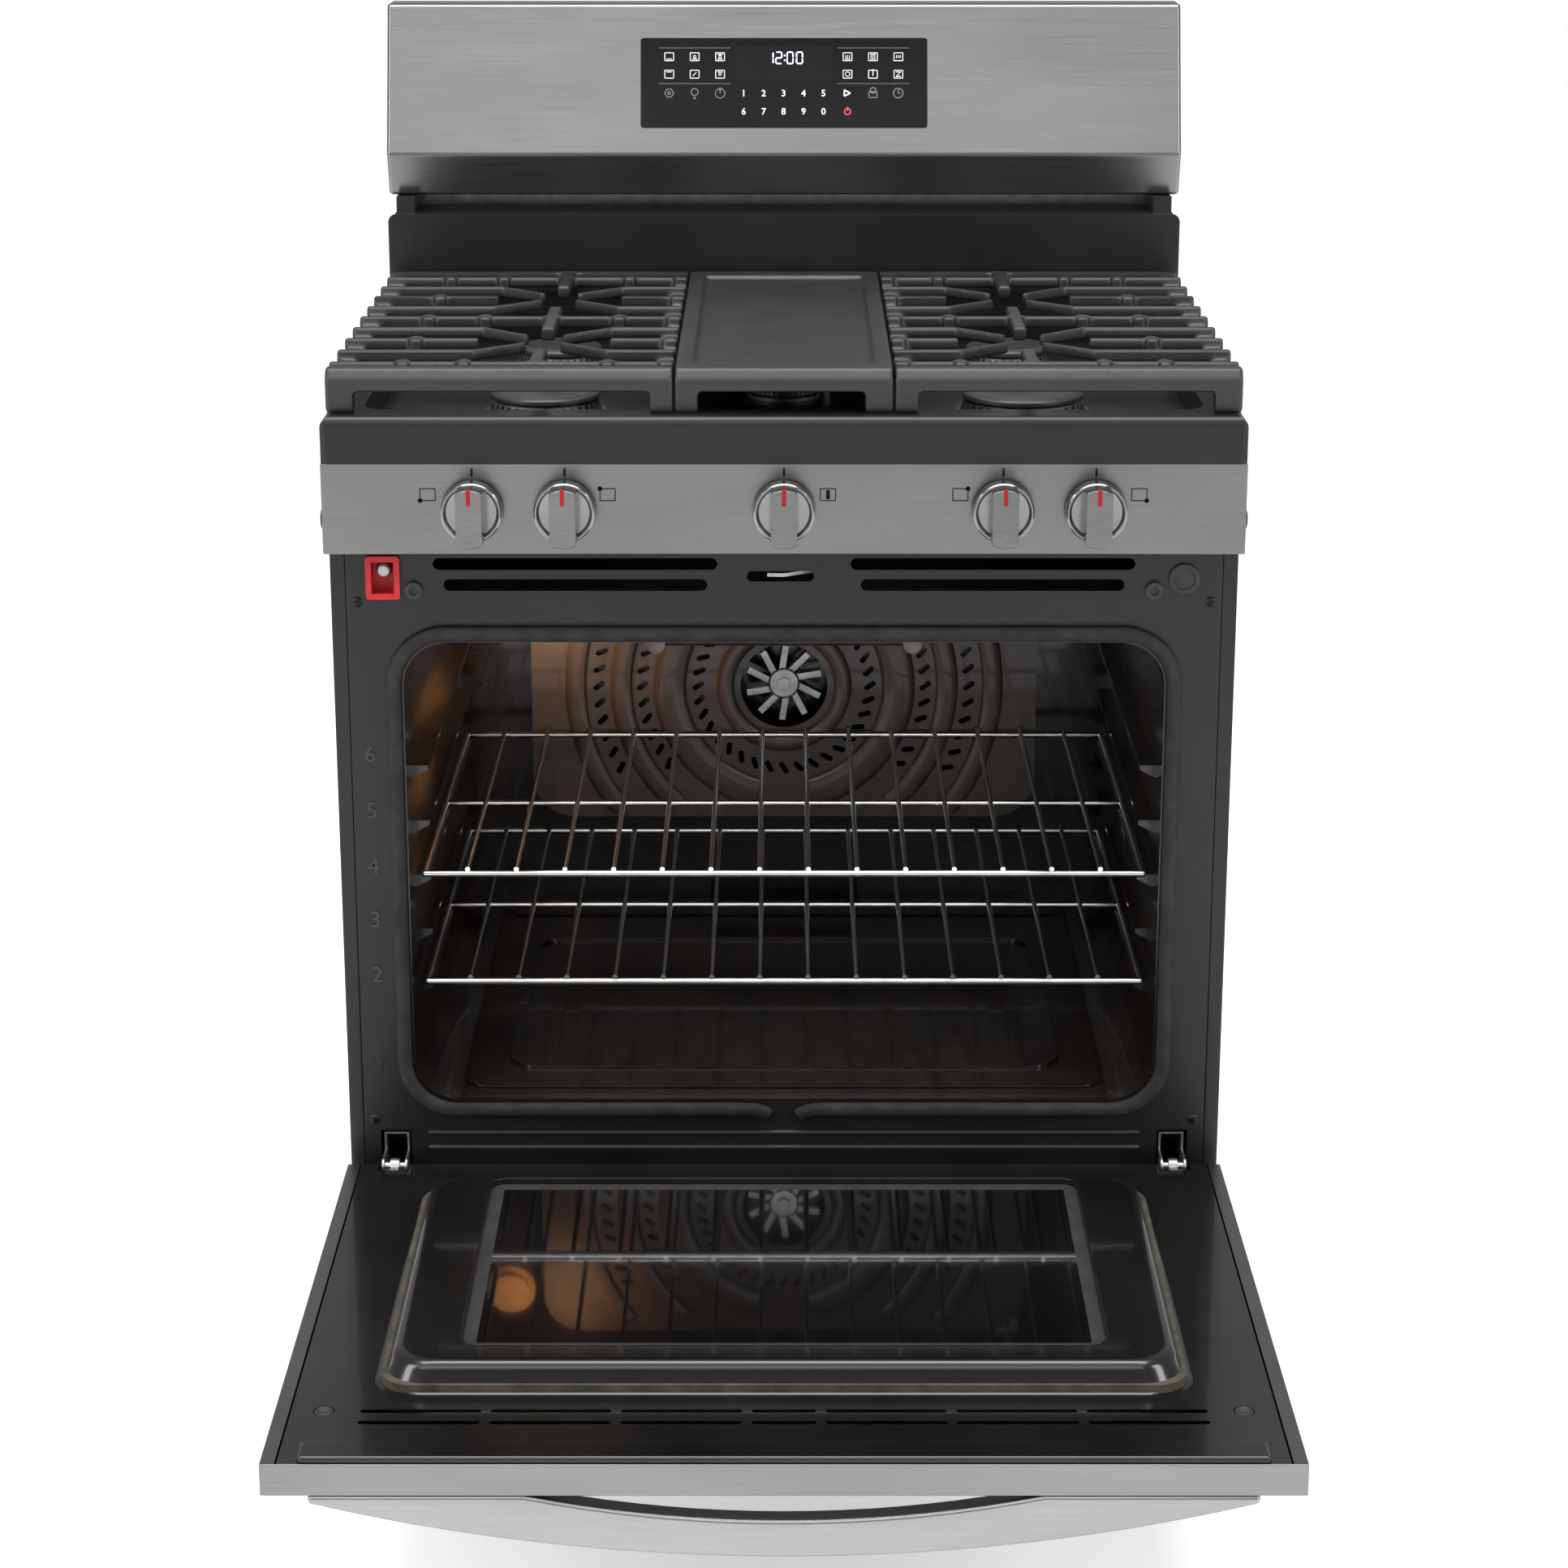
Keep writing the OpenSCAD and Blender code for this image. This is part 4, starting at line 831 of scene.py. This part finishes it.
# %% Burner rings and caps
base_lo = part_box("burner_bases")[0]
well_z = base_lo.z + 20 * MM
burner_y = [front + 160.5 * MM, front + 381.5 * MM]
burner_spots = [(-205, 0, 53), (205, 0, 58), (-205, 1, 44), (205, 1, 44)]


def burner_ring(radius, low=1.0, stretch=0.0, steps=72):
    """A burner ring of this radius in mm, its ports, and the cap's profile on top of it."""
    wall = [(23.5, -19.5), (23.9, -0.2), (radius, 0.3), (radius, 3.2), (radius - 1.2, 4.0),
            (radius - 4.0, 4.6), (radius - 5.2, 6.2), (radius - 7.2, 12.4), (radius - 9.0, 14.6),
            (radius - 14, 14.9), (0, 14.9)]
    ring_piece = spun([(r * MM, h * low * MM) for r, h in wall], steps)
    turn = 2 * math.pi / steps

    def is_port(face):
        middle = face.center
        reach = math.hypot(middle.x, middle.y) / MM
        part = round((math.atan2(middle.y, middle.x)) / turn - 0.5)
        return radius - 7 < reach < radius - 5.3 and part % 2 == 0

    pick(ring_piece, is_port, "FACE")
    bpy.ops.mesh.inset(thickness=0.25 * MM, depth=-1.6 * MM, use_individual=True)
    done()
    cap = spun([(r * MM, h * low * MM) for r, h in
                ((0, 15.2), (radius - 6.4, 15.2), (radius - 5.9, 15.8), (radius - 5.9, 18.4),
                 (radius - 6.7, 19.6), (radius - 9.5, 21.2), (radius - 13, 21.9),
                 (radius - 20, 21.6), (0, 21.3))], steps)
    for piece in (ring_piece, cap):
        if stretch:
            for side in (-1, 1):
                pick(piece, lambda co: co.y * side > 0.01 * MM, "VERT")
                bpy.ops.transform.translate(value=(0, side * stretch * MM, 0))
                done()
    return ring_piece, cap


rings, caps = [], []
for index, (x, back, radius) in enumerate(burner_spots):
    ring_piece, cap = burner_ring(radius)
    for piece, group in ((ring_piece, rings), (cap, caps)):
        piece.location = (x * MM, burner_y[back], well_z)
        group.append(settle(piece))
ring_piece, cap = burner_ring(32, 0.9, 28)
for piece, group in ((ring_piece, rings), (cap, caps)):
    piece.location = (0, sum(burner_y) / 2, well_z)
    group.append(settle(piece))
keep(joined("burner_rings", rings), "burner_rings", "range_body", burner_metal,
     ["burner_bases"])
keep(joined("burner_caps_enamelled", caps), "burner_caps_enamelled", "range_body",
     cap_enamel, ["burner_caps"])
print("burners:", pieces[-2:])

# %% [markdown]
# ## The door seal
# A glass-fibre rope, braided on the slant, runs round the oven's mouth, and its two ends turn
# down and tuck into the frame at the bottom. No operator weaves, so the rope's skin is computed:
# rings of points along the path, with two families of ribs that cross on the slant. A real
# rib is 1 mm across; it is drawn 2.6 mm across so that the weave shows.

# %% Braided seal
seal_lo, seal_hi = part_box("oven_gasket")
half_wide, half_deep = 6.3 * MM, 4.4 * MM
mid_x = seal_hi.x - 6.5 * MM
low_z, high_z, corner = seal_lo.z + 6.5 * MM, seal_hi.z - 6.5 * MM, 45 * MM
path = [(13 * MM, low_z - 7 * MM, 3 * MM), (17 * MM, low_z - 3.5 * MM, 1.5 * MM),
        (24 * MM, low_z - 0.8 * MM, 0.2 * MM), (34 * MM, low_z, 0)]
for cx, cz, start in ((mid_x - corner, low_z + corner, -90), (mid_x - corner, high_z - corner, 0)):
    for step in range(13):
        a = math.radians(start + step * 7.5)
        path.append((cx + corner * math.cos(a), cz + corner * math.sin(a), 0))
path.append((0, high_z, 0))
path = path + [(-x, z, y) for x, z, y in reversed(path[:-1])]
points, spacing = [], 0.8 * MM
for (x0, z0, y0), (x1, z1, y1) in zip(path, path[1:]):
    count = max(1, round(math.hypot(x1 - x0, z1 - z0) / spacing))
    points += [(x0 + (x1 - x0) * i / count, y0 + (y1 - y0) * i / count,
                z0 + (z1 - z0) * i / count) for i in range(count)]
print("seal path:", len(points), "points")

# %% The rope's woven skin
sides, rib = 24, 2.6 * MM
verts, travelled = [], 0.0
for index, (x, y, z) in enumerate(points):
    before, after = points[max(index - 3, 0)], points[min(index + 3, len(points) - 1)]
    heading = Vector((after[0] - before[0], 0, after[2] - before[2])).normalized()
    across = Vector((heading.z, 0, -heading.x))
    travelled += spacing
    for side in range(sides):
        a = 2 * math.pi * side / sides
        slant = 6 * a / 2
        over = max(abs(math.cos(math.pi * travelled / rib / 2 + slant)),
                   0.8 * abs(math.cos(math.pi * travelled / rib / 2 - slant)))
        grow = 0.93 + 0.07 * over
        spot = Vector((x, (seal_lo.y + seal_hi.y) / 2 + y, z))
        spot += across * (half_wide * grow * math.cos(a))
        spot += Vector((0, half_deep * grow * math.sin(a), 0))
        verts.append(spot)
rows = len(points)
faces = [(r * sides + k, r * sides + (k + 1) % sides, (r + 1) * sides + (k + 1) % sides,
          (r + 1) * sides + k) for r in range(rows - 1) for k in range(sides)]
faces += [tuple(range(sides)), tuple(range((rows - 1) * sides, rows * sides))]
mesh = bpy.data.meshes.new("door_seal_braid")
mesh.from_pydata(verts, [], faces)
seal = bpy.data.objects.new("door_seal_braid", mesh)
bpy.context.scene.collection.objects.link(seal)
pick(seal, lambda face: True, "FACE")
bpy.ops.mesh.normals_make_consistent(inside=False)
done()
braid = moulded("braided_glass_fibre", "#181818", "#252525", 0.7, 0.7, 0.1, 0.3)
keep(seal, "door_seal_braid", "range_body", braid, ["oven_gasket"], 60)
print("seal rope:", round(rows * spacing, 3), "m long,", len(faces), "faces")

# %% [markdown]
# ## Rings pressed into the fan cover
# The porcelain plate that hides the fan is stiffened by rounded rings pressed between its rows
# of slots. Each is a shallow arch spun about the fan's axle; the outer ones are cut short where
# the plate ends, so they are spun through part of a turn on either side.

# %% Fan cover rings
cover_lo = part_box("fan_baffle")[0]
fan_lo, fan_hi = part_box("convection_fan")
fan_z = (fan_lo.z + fan_hi.z) / 2


def arch(inner, outer, high, half_angle):
    """A ring that rises out of the plate in an arch, through half_angle on each side."""
    steps = 8
    middle, reach = (inner + outer) / 2, (outer - inner) / 2
    line = [(middle - reach * math.cos(math.pi * i / steps),
             high * math.sin(math.pi * i / steps) ** 0.7) for i in range(steps + 1)]
    parts = []
    for side in ((0,) if half_angle >= 180 else (0, 180)):
        bpy.ops.object.select_all(action="DESELECT")
        bpy.ops.mesh.primitive_plane_add(size=1 * MM)
        obj = bpy.context.active_object
        bpy.ops.object.mode_set(mode="EDIT")
        bpy.ops.mesh.delete(type="VERT")
        done()
        start = math.radians(side + half_angle)
        obj.data.from_pydata([(r * MM * math.cos(start), r * MM * math.sin(start), h * MM)
                              for r, h in line], [(i, i + 1) for i in range(steps)], [])
        pick(obj, lambda co: True, "VERT")
        bpy.ops.mesh.spin(steps=max(24, int(half_angle / 2)), angle=math.radians(2 * half_angle),
                          center=(0, 0, 0), axis=(0, 0, 1))
        bpy.ops.mesh.select_all(action="SELECT")
        bpy.ops.mesh.remove_doubles(threshold=0.01 * MM)
        bpy.ops.mesh.normals_make_consistent(inside=False)
        done()
        modify(obj, "SOLIDIFY", thickness=0.6 * MM, offset=0)
        parts.append(obj)
    return parts


ridges = []
for inner, outer, high, half_angle in ((49, 66, 5.5, 180), (96, 128, 4.5, 76),
                                       (149, 170, 4.0, 49), (194, 214, 4.0, 38)):
    ridges += arch(inner, outer, high, half_angle)
ridge = joined("fan_cover_rings", ridges)
ridge.data.transform(Matrix.Translation((0, cover_lo.y - 0.1 * MM, fan_z)) @ stand)
cover_steel = porcelain("fan_cover_porcelain", "#2d2621", "#3c332d", 0.36, 1.2)
keep(ridge, "fan_cover_rings", "range_body", cover_steel, angle=60)
frame["nodes"]["fan_baffle"].data.materials[0] = cover_steel
print("fan cover rings:", pieces[-1])

# %% [markdown]
# ## The fan
# Ten blades are folded out of one disc, so from the front each shows a flat arm with a pressed
# rib, round a hub that a hexagon nut clamps to the motor's axle.

# %% Fan wheel
arm = rounded_block((10.5 * MM, -3.2 * MM, -0.8 * MM), (37.5 * MM, 3.2 * MM, 0.8 * MM), 0.5 * MM, 2)
rib_bar = rounded_block((15 * MM, -1.3 * MM, 0.5 * MM), (33 * MM, 1.3 * MM, 1.6 * MM), 0.4 * MM, 2)
fold_bar = rounded_block((14 * MM, 2.2 * MM, -14 * MM), (37.5 * MM, 3.2 * MM, 0.2 * MM),
                         0.4 * MM, 2)
blades = []
for index in range(10):
    for source in (arm, rib_bar, fold_bar):
        blade = twin(source, f"blade_{index}")
        blade.data.transform(Matrix.Rotation(math.radians(36 * index + 9), 4, "Z")
                             @ Matrix.Translation((0, 4 * MM, 0)))
        blades.append(blade)
hub = spun([(r * MM, h * MM) for r, h in ((4.06, -15), (12, -15), (12, -1), (15.5, 0.2),
                                          (15.5, 1.2), (14.6, 1.9), (13.6, 1.2), (7, 1.4),
                                          (4.06, 1.4))], 40)
bpy.ops.object.select_all(action="DESELECT")
bpy.ops.mesh.primitive_cylinder_add(vertices=6, radius=7 * MM, depth=5 * MM,
                                    location=(0, 0, 3.6 * MM))
nut = settle(bpy.context.active_object)
modify(nut, "BEVEL", width=0.5 * MM, segments=2, limit_method="ANGLE")
for source in (arm, rib_bar, fold_bar):
    bpy.data.objects.remove(source)
wheel = joined("fan_wheel", blades + [hub, nut])
wheel.data.transform(Matrix.Translation((0, fan_lo.y + 6.5 * MM, fan_z)) @ stand)
keep(wheel, "fan_wheel", "fan", zinc_steel, ["convection_fan"])
print("fan wheel:", pieces[-1])

# %% [markdown]
# ## The inside of the door
# One porcelain sheet is drawn over a die: a flat border, a raised panel with generous corners
# that fits into the oven's mouth, and a window hole. The panel is built up ring by ring, as a
# draughtsman would draw its section: extrude up a little, resize a little, and again. Boolean
# modifiers then cut the window, the air slots and the holes.

# %% Pressing tools
def pressed_panel(half_x, y0, y1, corner, section):
    """A rounded rectangle that rises through a section of (inset, height) steps in metres."""
    middle = (y0 + y1) / 2
    half_y = (y1 - y0) / 2
    bpy.ops.object.select_all(action="DESELECT")
    bpy.ops.mesh.primitive_plane_add(size=1, location=(0, 0, 0))
    obj = bpy.context.active_object
    obj.scale = (2 * half_x, 2 * half_y, 1)
    settle(obj)
    pick(obj, lambda co: True, "VERT")
    bpy.ops.mesh.bevel(offset=corner, segments=8, affect="VERTICES")
    inset, height = section[0]
    bpy.ops.transform.translate(value=(0, 0, height))
    for new_inset, new_height in section[1:]:
        bpy.ops.mesh.extrude_region_move()
        bpy.ops.transform.translate(value=(0, 0, new_height - height))
        bpy.ops.transform.resize(value=((half_x - new_inset) / (half_x - inset),
                                        (half_y - new_inset) / (half_y - inset), 1),
                                 center_override=(0, 0, new_height))
        inset, height = new_inset, new_height
    done()
    pick(obj, lambda co: False, "VERT")
    bpy.ops.mesh.select_non_manifold()
    bpy.ops.mesh.edge_face_add()
    bpy.ops.mesh.select_all(action="SELECT")
    bpy.ops.mesh.normals_make_consistent(inside=False)
    done()
    obj.location = (0, middle, 0)
    return settle(obj)


def cut_with(obj, cutters, operation="DIFFERENCE"):
    for cutter in cutters:
        modify(obj, "BOOLEAN", object=cutter, operation=operation, solver="EXACT")
        bpy.data.objects.remove(cutter)
    return obj


print("pressing tools ready")

# %% Door liner
liner_lo, liner_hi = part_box("door_liner")
hinge_line = front + 17 * MM          # the line of the hinge pins, where the door's lengths start
door_end = hinge_line - 545.6 * MM    # the liner's edge at the handle
face_z = 252.2 * MM                   # the liner's flat face, on the open door
top_z = liner_hi.z
rise = top_z - face_z
y_far, y_near = hinge_line - 452 * MM, hinge_line - 58 * MM
section = [(-9, -1), (-9, 0.0), (-5.5, 0.9), (-3.0, 2.6), (-1.2, 5.5), (3.4, 16.4), (4.6, 18.9),
           (6.6, 21.0), (9.4, 22.3), (13, rise / MM)]
outer = pressed_panel(310 * MM, y_far + 9 * MM, y_near - 9 * MM, 32 * MM,
                      [(a * MM, face_z + b * MM) for a, b in section])
inner = pressed_panel(309 * MM, y_far + 10 * MM, y_near - 10 * MM, 31 * MM,
                      [(a * MM, face_z + (b - 1.05) * MM) for a, b in section])
plate = rounded_block((liner_lo.x, door_end, face_z - 1 * MM),
                      (liner_hi.x, hinge_line - 6.4 * MM, face_z), 0.3 * MM, 2)
cut_with(plate, [outer], "UNION")
lip = rounded_block((-352 * MM, door_end, face_z - 1 * MM),
                    (352 * MM, hinge_line - 519 * MM, face_z + 5.2 * MM), 3.0 * MM, 6)
cut_with(plate, [lip], "UNION")
inner.data.transform(Matrix.Translation((0, 0, -0.02 * MM)))
print("liner before its holes:", len(plate.data.polygons), "faces")

# %% Holes in the liner
buffer_x, buffer_y = 342 * MM, hinge_line - 464 * MM
window_hole = pressed_panel(246.5 * MM, hinge_line - 399 * MM, hinge_line - 89 * MM, 14 * MM,
                            [(0, face_z - 5 * MM), (0, top_z + 2 * MM)])
cutters = [inner, window_hole]
for row in (464, 482):
    for middle, half in [(s * (76 + i * 97), 45) for s in (-1, 1) for i in range(3)] + [(0, 24)]:
        slot = pressed_panel(half * MM, hinge_line - (row + 2.7) * MM,
                             hinge_line - (row - 2.7) * MM, 2.5 * MM,
                             [(0, face_z - 5 * MM), (0, face_z + 3 * MM)])
        slot.data.transform(Matrix.Translation((middle * MM, 0, 0)))
        cutters.append(slot)
for side in (-1, 1):
    bpy.ops.mesh.primitive_cylinder_add(vertices=32, radius=8 * MM, depth=10 * MM,
                                        location=(side * buffer_x, buffer_y, face_z))
    cutters.append(settle(bpy.context.active_object))
    gap = rounded_block(((side * 338.4 - 14) * MM, hinge_line - 20 * MM, face_z - 5 * MM),
                        ((side * 338.4 + 14) * MM, hinge_line + 2 * MM, face_z + 5 * MM),
                        0.5 * MM, 1)
    cutters.append(gap)
cut_with(plate, cutters)
keep(plate, "door_liner_pressing", "door", door_enamel, ["door_liner"], 50)
print("door liner:", pieces[-1])

# %% Wool behind the liner
wool = cad_copy("door_insulation", "door_wool")
wool_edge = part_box("door_insulation")[1].x
pick(wool, lambda a, b: abs(a.x - b.x) < 0.1 * MM and abs(a.z - b.z) > 5 * MM
     and abs(abs(a.x) - wool_edge) < 0.1 * MM)
bpy.ops.mesh.bevel(offset=26 * MM, segments=6, affect="EDGES")      # follows the liner's corners
done()
keep(wool, "door_wool", "door", mineral_wool, ["door_insulation"])
print("wool:", pieces[-1])

# %% [markdown]
# ### The window's edge
# The hole's rim is turned down onto the glass, and the glass has a black border fired onto it,
# which hides the glue. Round buffers sit in the holes beside the air slots.

# %% Window rim, border and buffers
def frame_of(half_x, y0, y1, corner, width, z0, z1):
    """A flat rectangular frame with rounded corners."""
    whole = pressed_panel(half_x, y0, y1, corner, [(0, z0), (0, z1)])
    hole = pressed_panel(half_x - width, y0 + width, y1 - width, max(corner - width, 1.5 * MM),
                         [(0, z0 - MM), (0, z1 + MM)])
    return cut_with(whole, [hole])


glass_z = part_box("door_glass_inner")[1].z
rim = frame_of(247.8 * MM, hinge_line - 400.3 * MM, hinge_line - 87.7 * MM, 15 * MM, 1.6 * MM,
               glass_z + 0.1 * MM, top_z + 0.35 * MM)
modify(rim, "BEVEL", width=0.4 * MM, segments=2, limit_method="ANGLE")
keep(rim, "window_rim", "door", deck_enamel, angle=50)
border = frame_of(246 * MM, hinge_line - 398.5 * MM, hinge_line - 89.5 * MM, 13 * MM,
                  11 * MM, glass_z + 0.02 * MM, glass_z + 0.1 * MM)
keep(border, "window_border", "door", black_rubber, angle=30)
buffers = []
for side in (-1, 1):
    buffer = spun([(r * MM, h * MM) for r, h in ((0, -4), (6.6, -4), (7.2, -2), (7.2, -0.6),
                                                (6.2, 0.2), (4.4, -0.4), (2.4, -1.6), (0, -1.8))],
                  32)
    buffer.location = (side * buffer_x, buffer_y, face_z + 0.4 * MM)
    buffers.append(settle(buffer))
keep(joined("door_buffers", buffers), "door_buffers", "door", black_rubber)
print("window:", pieces[-3:])

# %% [markdown]
# ## The handle
# The towel-rail handle is one bowed bar of satin stainless with soft edges, thickest in the
# middle. It keeps its CAD curve. Seen from above it is slimmer than its CAD block, and its edges
# have a wide bevel, so a long highlight runs along it.

# %% Handle
bow = cad_copy("door_handle", "handle_bow")
bow_end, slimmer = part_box("door_handle")[0].y, 0.62
bow.data.transform(Matrix.Translation((0, bow_end, 0)) @ Matrix.Diagonal((1, slimmer, 1, 1))
                   @ Matrix.Translation((0, -bow_end, 0)))
modify(bow, "BEVEL", width=7.5 * MM, segments=7, limit_method="ANGLE",
       angle_limit=math.radians(40), use_clamp_overlap=True)
keep(bow, "handle_bow", "door", handle_steel, ["door_handle"], 60)
print("handle:", pieces[-1])

# %% [markdown]
# ## Rack-position numbers and screws
# The numbers 1 to 6 are pressed into the front frame beside the rack guides. The frame is held
# by black Phillips screws, and a hexagon-headed one shows on each side of the panel.

# %% Pressed numbers
numbers = []
for label, height in (("6", 618), ("5", 568), ("4", 518), ("3", 470), ("2", 420), ("1", 335)):
    number = digit(label, 0, 0, 15)
    number.scale = (1, 1, 9)
    settle(number)
    number.data.transform(Matrix.Translation((-350 * MM, front + 30.85 * MM, height * MM)) @ stand)
    numbers.append(number)
keep(joined("rack_numbers", numbers), "rack_numbers", "range_body",
     deck_enamel, angle=30)

# %% Screws
head_piece = spun([(r * MM, h * MM) for r, h in ((0, 0), (4.5, 0), (4.5, 0.5), (3.9, 1.2),
                                                 (2.6, 1.8), (0, 2.05))], 32)
for turn in (0, 90):
    arm = rounded_block((-2.3 * MM, -0.5 * MM, 1.0 * MM), (2.3 * MM, 0.5 * MM, 3 * MM), 0.1 * MM, 1)
    arm.data.transform(Matrix.Rotation(math.radians(turn), 4, "Z"))
    cut_with(head_piece, [arm])
screws = []
for x, z in ((-356.7, 751), (356.7, 751), (-356.7, 286), (356.7, 286)):
    screw = twin(head_piece, "screw")
    screw.data.transform(Matrix.Translation((x * MM, front + 31 * MM, z * MM)) @ stand)
    screws.append(screw)
for side in (-1, 1):
    cap = spun([(r * MM, h * MM) for r, h in ((0, 0), (9, 0), (9, 0.8), (8.2, 1.8), (6, 2.4),
                                              (0, 2.5))], 32)
    cap.data.transform(Matrix.Translation((side * 379.5 * MM, front + 15 * MM, 826 * MM))
                       @ Matrix.Rotation(side * math.pi / 2, 4, "Y"))
    screws.append(cap)
bpy.data.objects.remove(head_piece)
screw_black = bare_metal("black_oxide_screw", "#242424", "#333333", 0.35, 4)
keep(joined("case_screws", screws), "case_screws", "range_body", screw_black,
     ["frame_screws"])
print("numbers and screws:", pieces[-2:])

# %% [markdown]
# ## Studio
# The range stands on a pale floor in a white room. Large soft lights from above, both sides and
# the front make the long highlights that steel needs, and two small ones work inside the oven:
# the warm lamp in its corner and a faint fill, which stands for the light that the white room
# throws in through the mouth.

# %% Floor and room
bpy.ops.object.select_all(action="DESELECT")
bpy.ops.mesh.primitive_plane_add(size=30, location=(0, 1.0, 0))
floor = settle(bpy.context.active_object)
floor.name = "studio_floor"
floor_paint, floor_shader = new_finish("pale_floor_paint", {
    "Roughness": 0.8, "Emission Color": hex_colour("#ffffff"), "Emission Strength": 0.39})
feed(floor_paint, floor_shader, {
    "Base Color": shades(floor_paint, mottle(floor_paint, 300), "#f2f2f2", "#f7f7f7")})
floor.data.materials.append(floor_paint)

world = bpy.data.worlds.new("studio")
bpy.context.scene.world = world
world.use_nodes = True
sky = world.node_tree.nodes["Background"]
sky.inputs["Color"].default_value = (1, 1, 1, 1)
seen = world.node_tree.nodes.new("ShaderNodeLightPath")
level = world.node_tree.nodes.new("ShaderNodeMapRange")
level.inputs["To Min"].default_value = 0.42
level.inputs["To Max"].default_value = 1.0
world.node_tree.links.new(seen.outputs["Is Camera Ray"], level.inputs["Value"])
world.node_tree.links.new(level.outputs["Result"], sky.inputs["Strength"])
bpy.context.scene.view_settings.view_transform = "Standard"
print("room ready")


# %% Lights
def softbox(name, place, target, size, power):
    data = bpy.data.lights.new(name, "AREA")
    data.shape = "RECTANGLE"
    data.size, data.size_y = size
    data.energy = power
    box = bpy.data.objects.new(name, data)
    bpy.context.scene.collection.objects.link(box)
    box.location = place
    box.rotation_euler = (Vector(target) - Vector(place)).to_track_quat("-Z", "Y").to_euler()
    return box


softbox("top_light", (0, -0.2, 3.2), (0, 0.1, 0.6), (2.6, 1.6), 95)
softbox("left_light", (-2.8, -1.8, 1.9), (0, 0, 0.6), (1.0, 2.0), 60)
softbox("right_light", (2.8, -1.8, 1.9), (0, 0, 0.6), (1.0, 2.0), 60)
softbox("front_light", (-0.4, -3.4, 2.7), (0, 0, 0.9), (3.6, 1.4), 30)
softbox("oven_fill", (0, front + 90 * MM, 0.70), (0, front + 0.42, 0.32), (0.45, 0.08), 0.8)
sun_data = bpy.data.lights.new("sky_light", "SUN")
sun_data.energy = 0.9
sun_data.angle = math.radians(60)
sun = bpy.data.objects.new("sky_light", sun_data)
bpy.context.scene.collection.objects.link(sun)
sun.rotation_euler = (math.radians(25), math.radians(-10), 0)
lamp_lo, lamp_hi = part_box("oven_lamp")
glow_data = bpy.data.lights.new("oven_lamp_glow", "POINT")
glow_data.energy = 1.8
glow_data.color = (1.0, 0.60, 0.32)
glow_data.shadow_soft_size = 0.02
glow = bpy.data.objects.new("oven_lamp_glow", glow_data)
bpy.context.scene.collection.objects.link(glow)
glow.visible_glossy = False        # its own bulb would show as hot spots in the porcelain
glow.location = (lamp_hi.x + 30 * MM, lamp_lo.y - 80 * MM, (lamp_lo.z + lamp_hi.z) / 2)
print("lights:", len(bpy.data.lights))
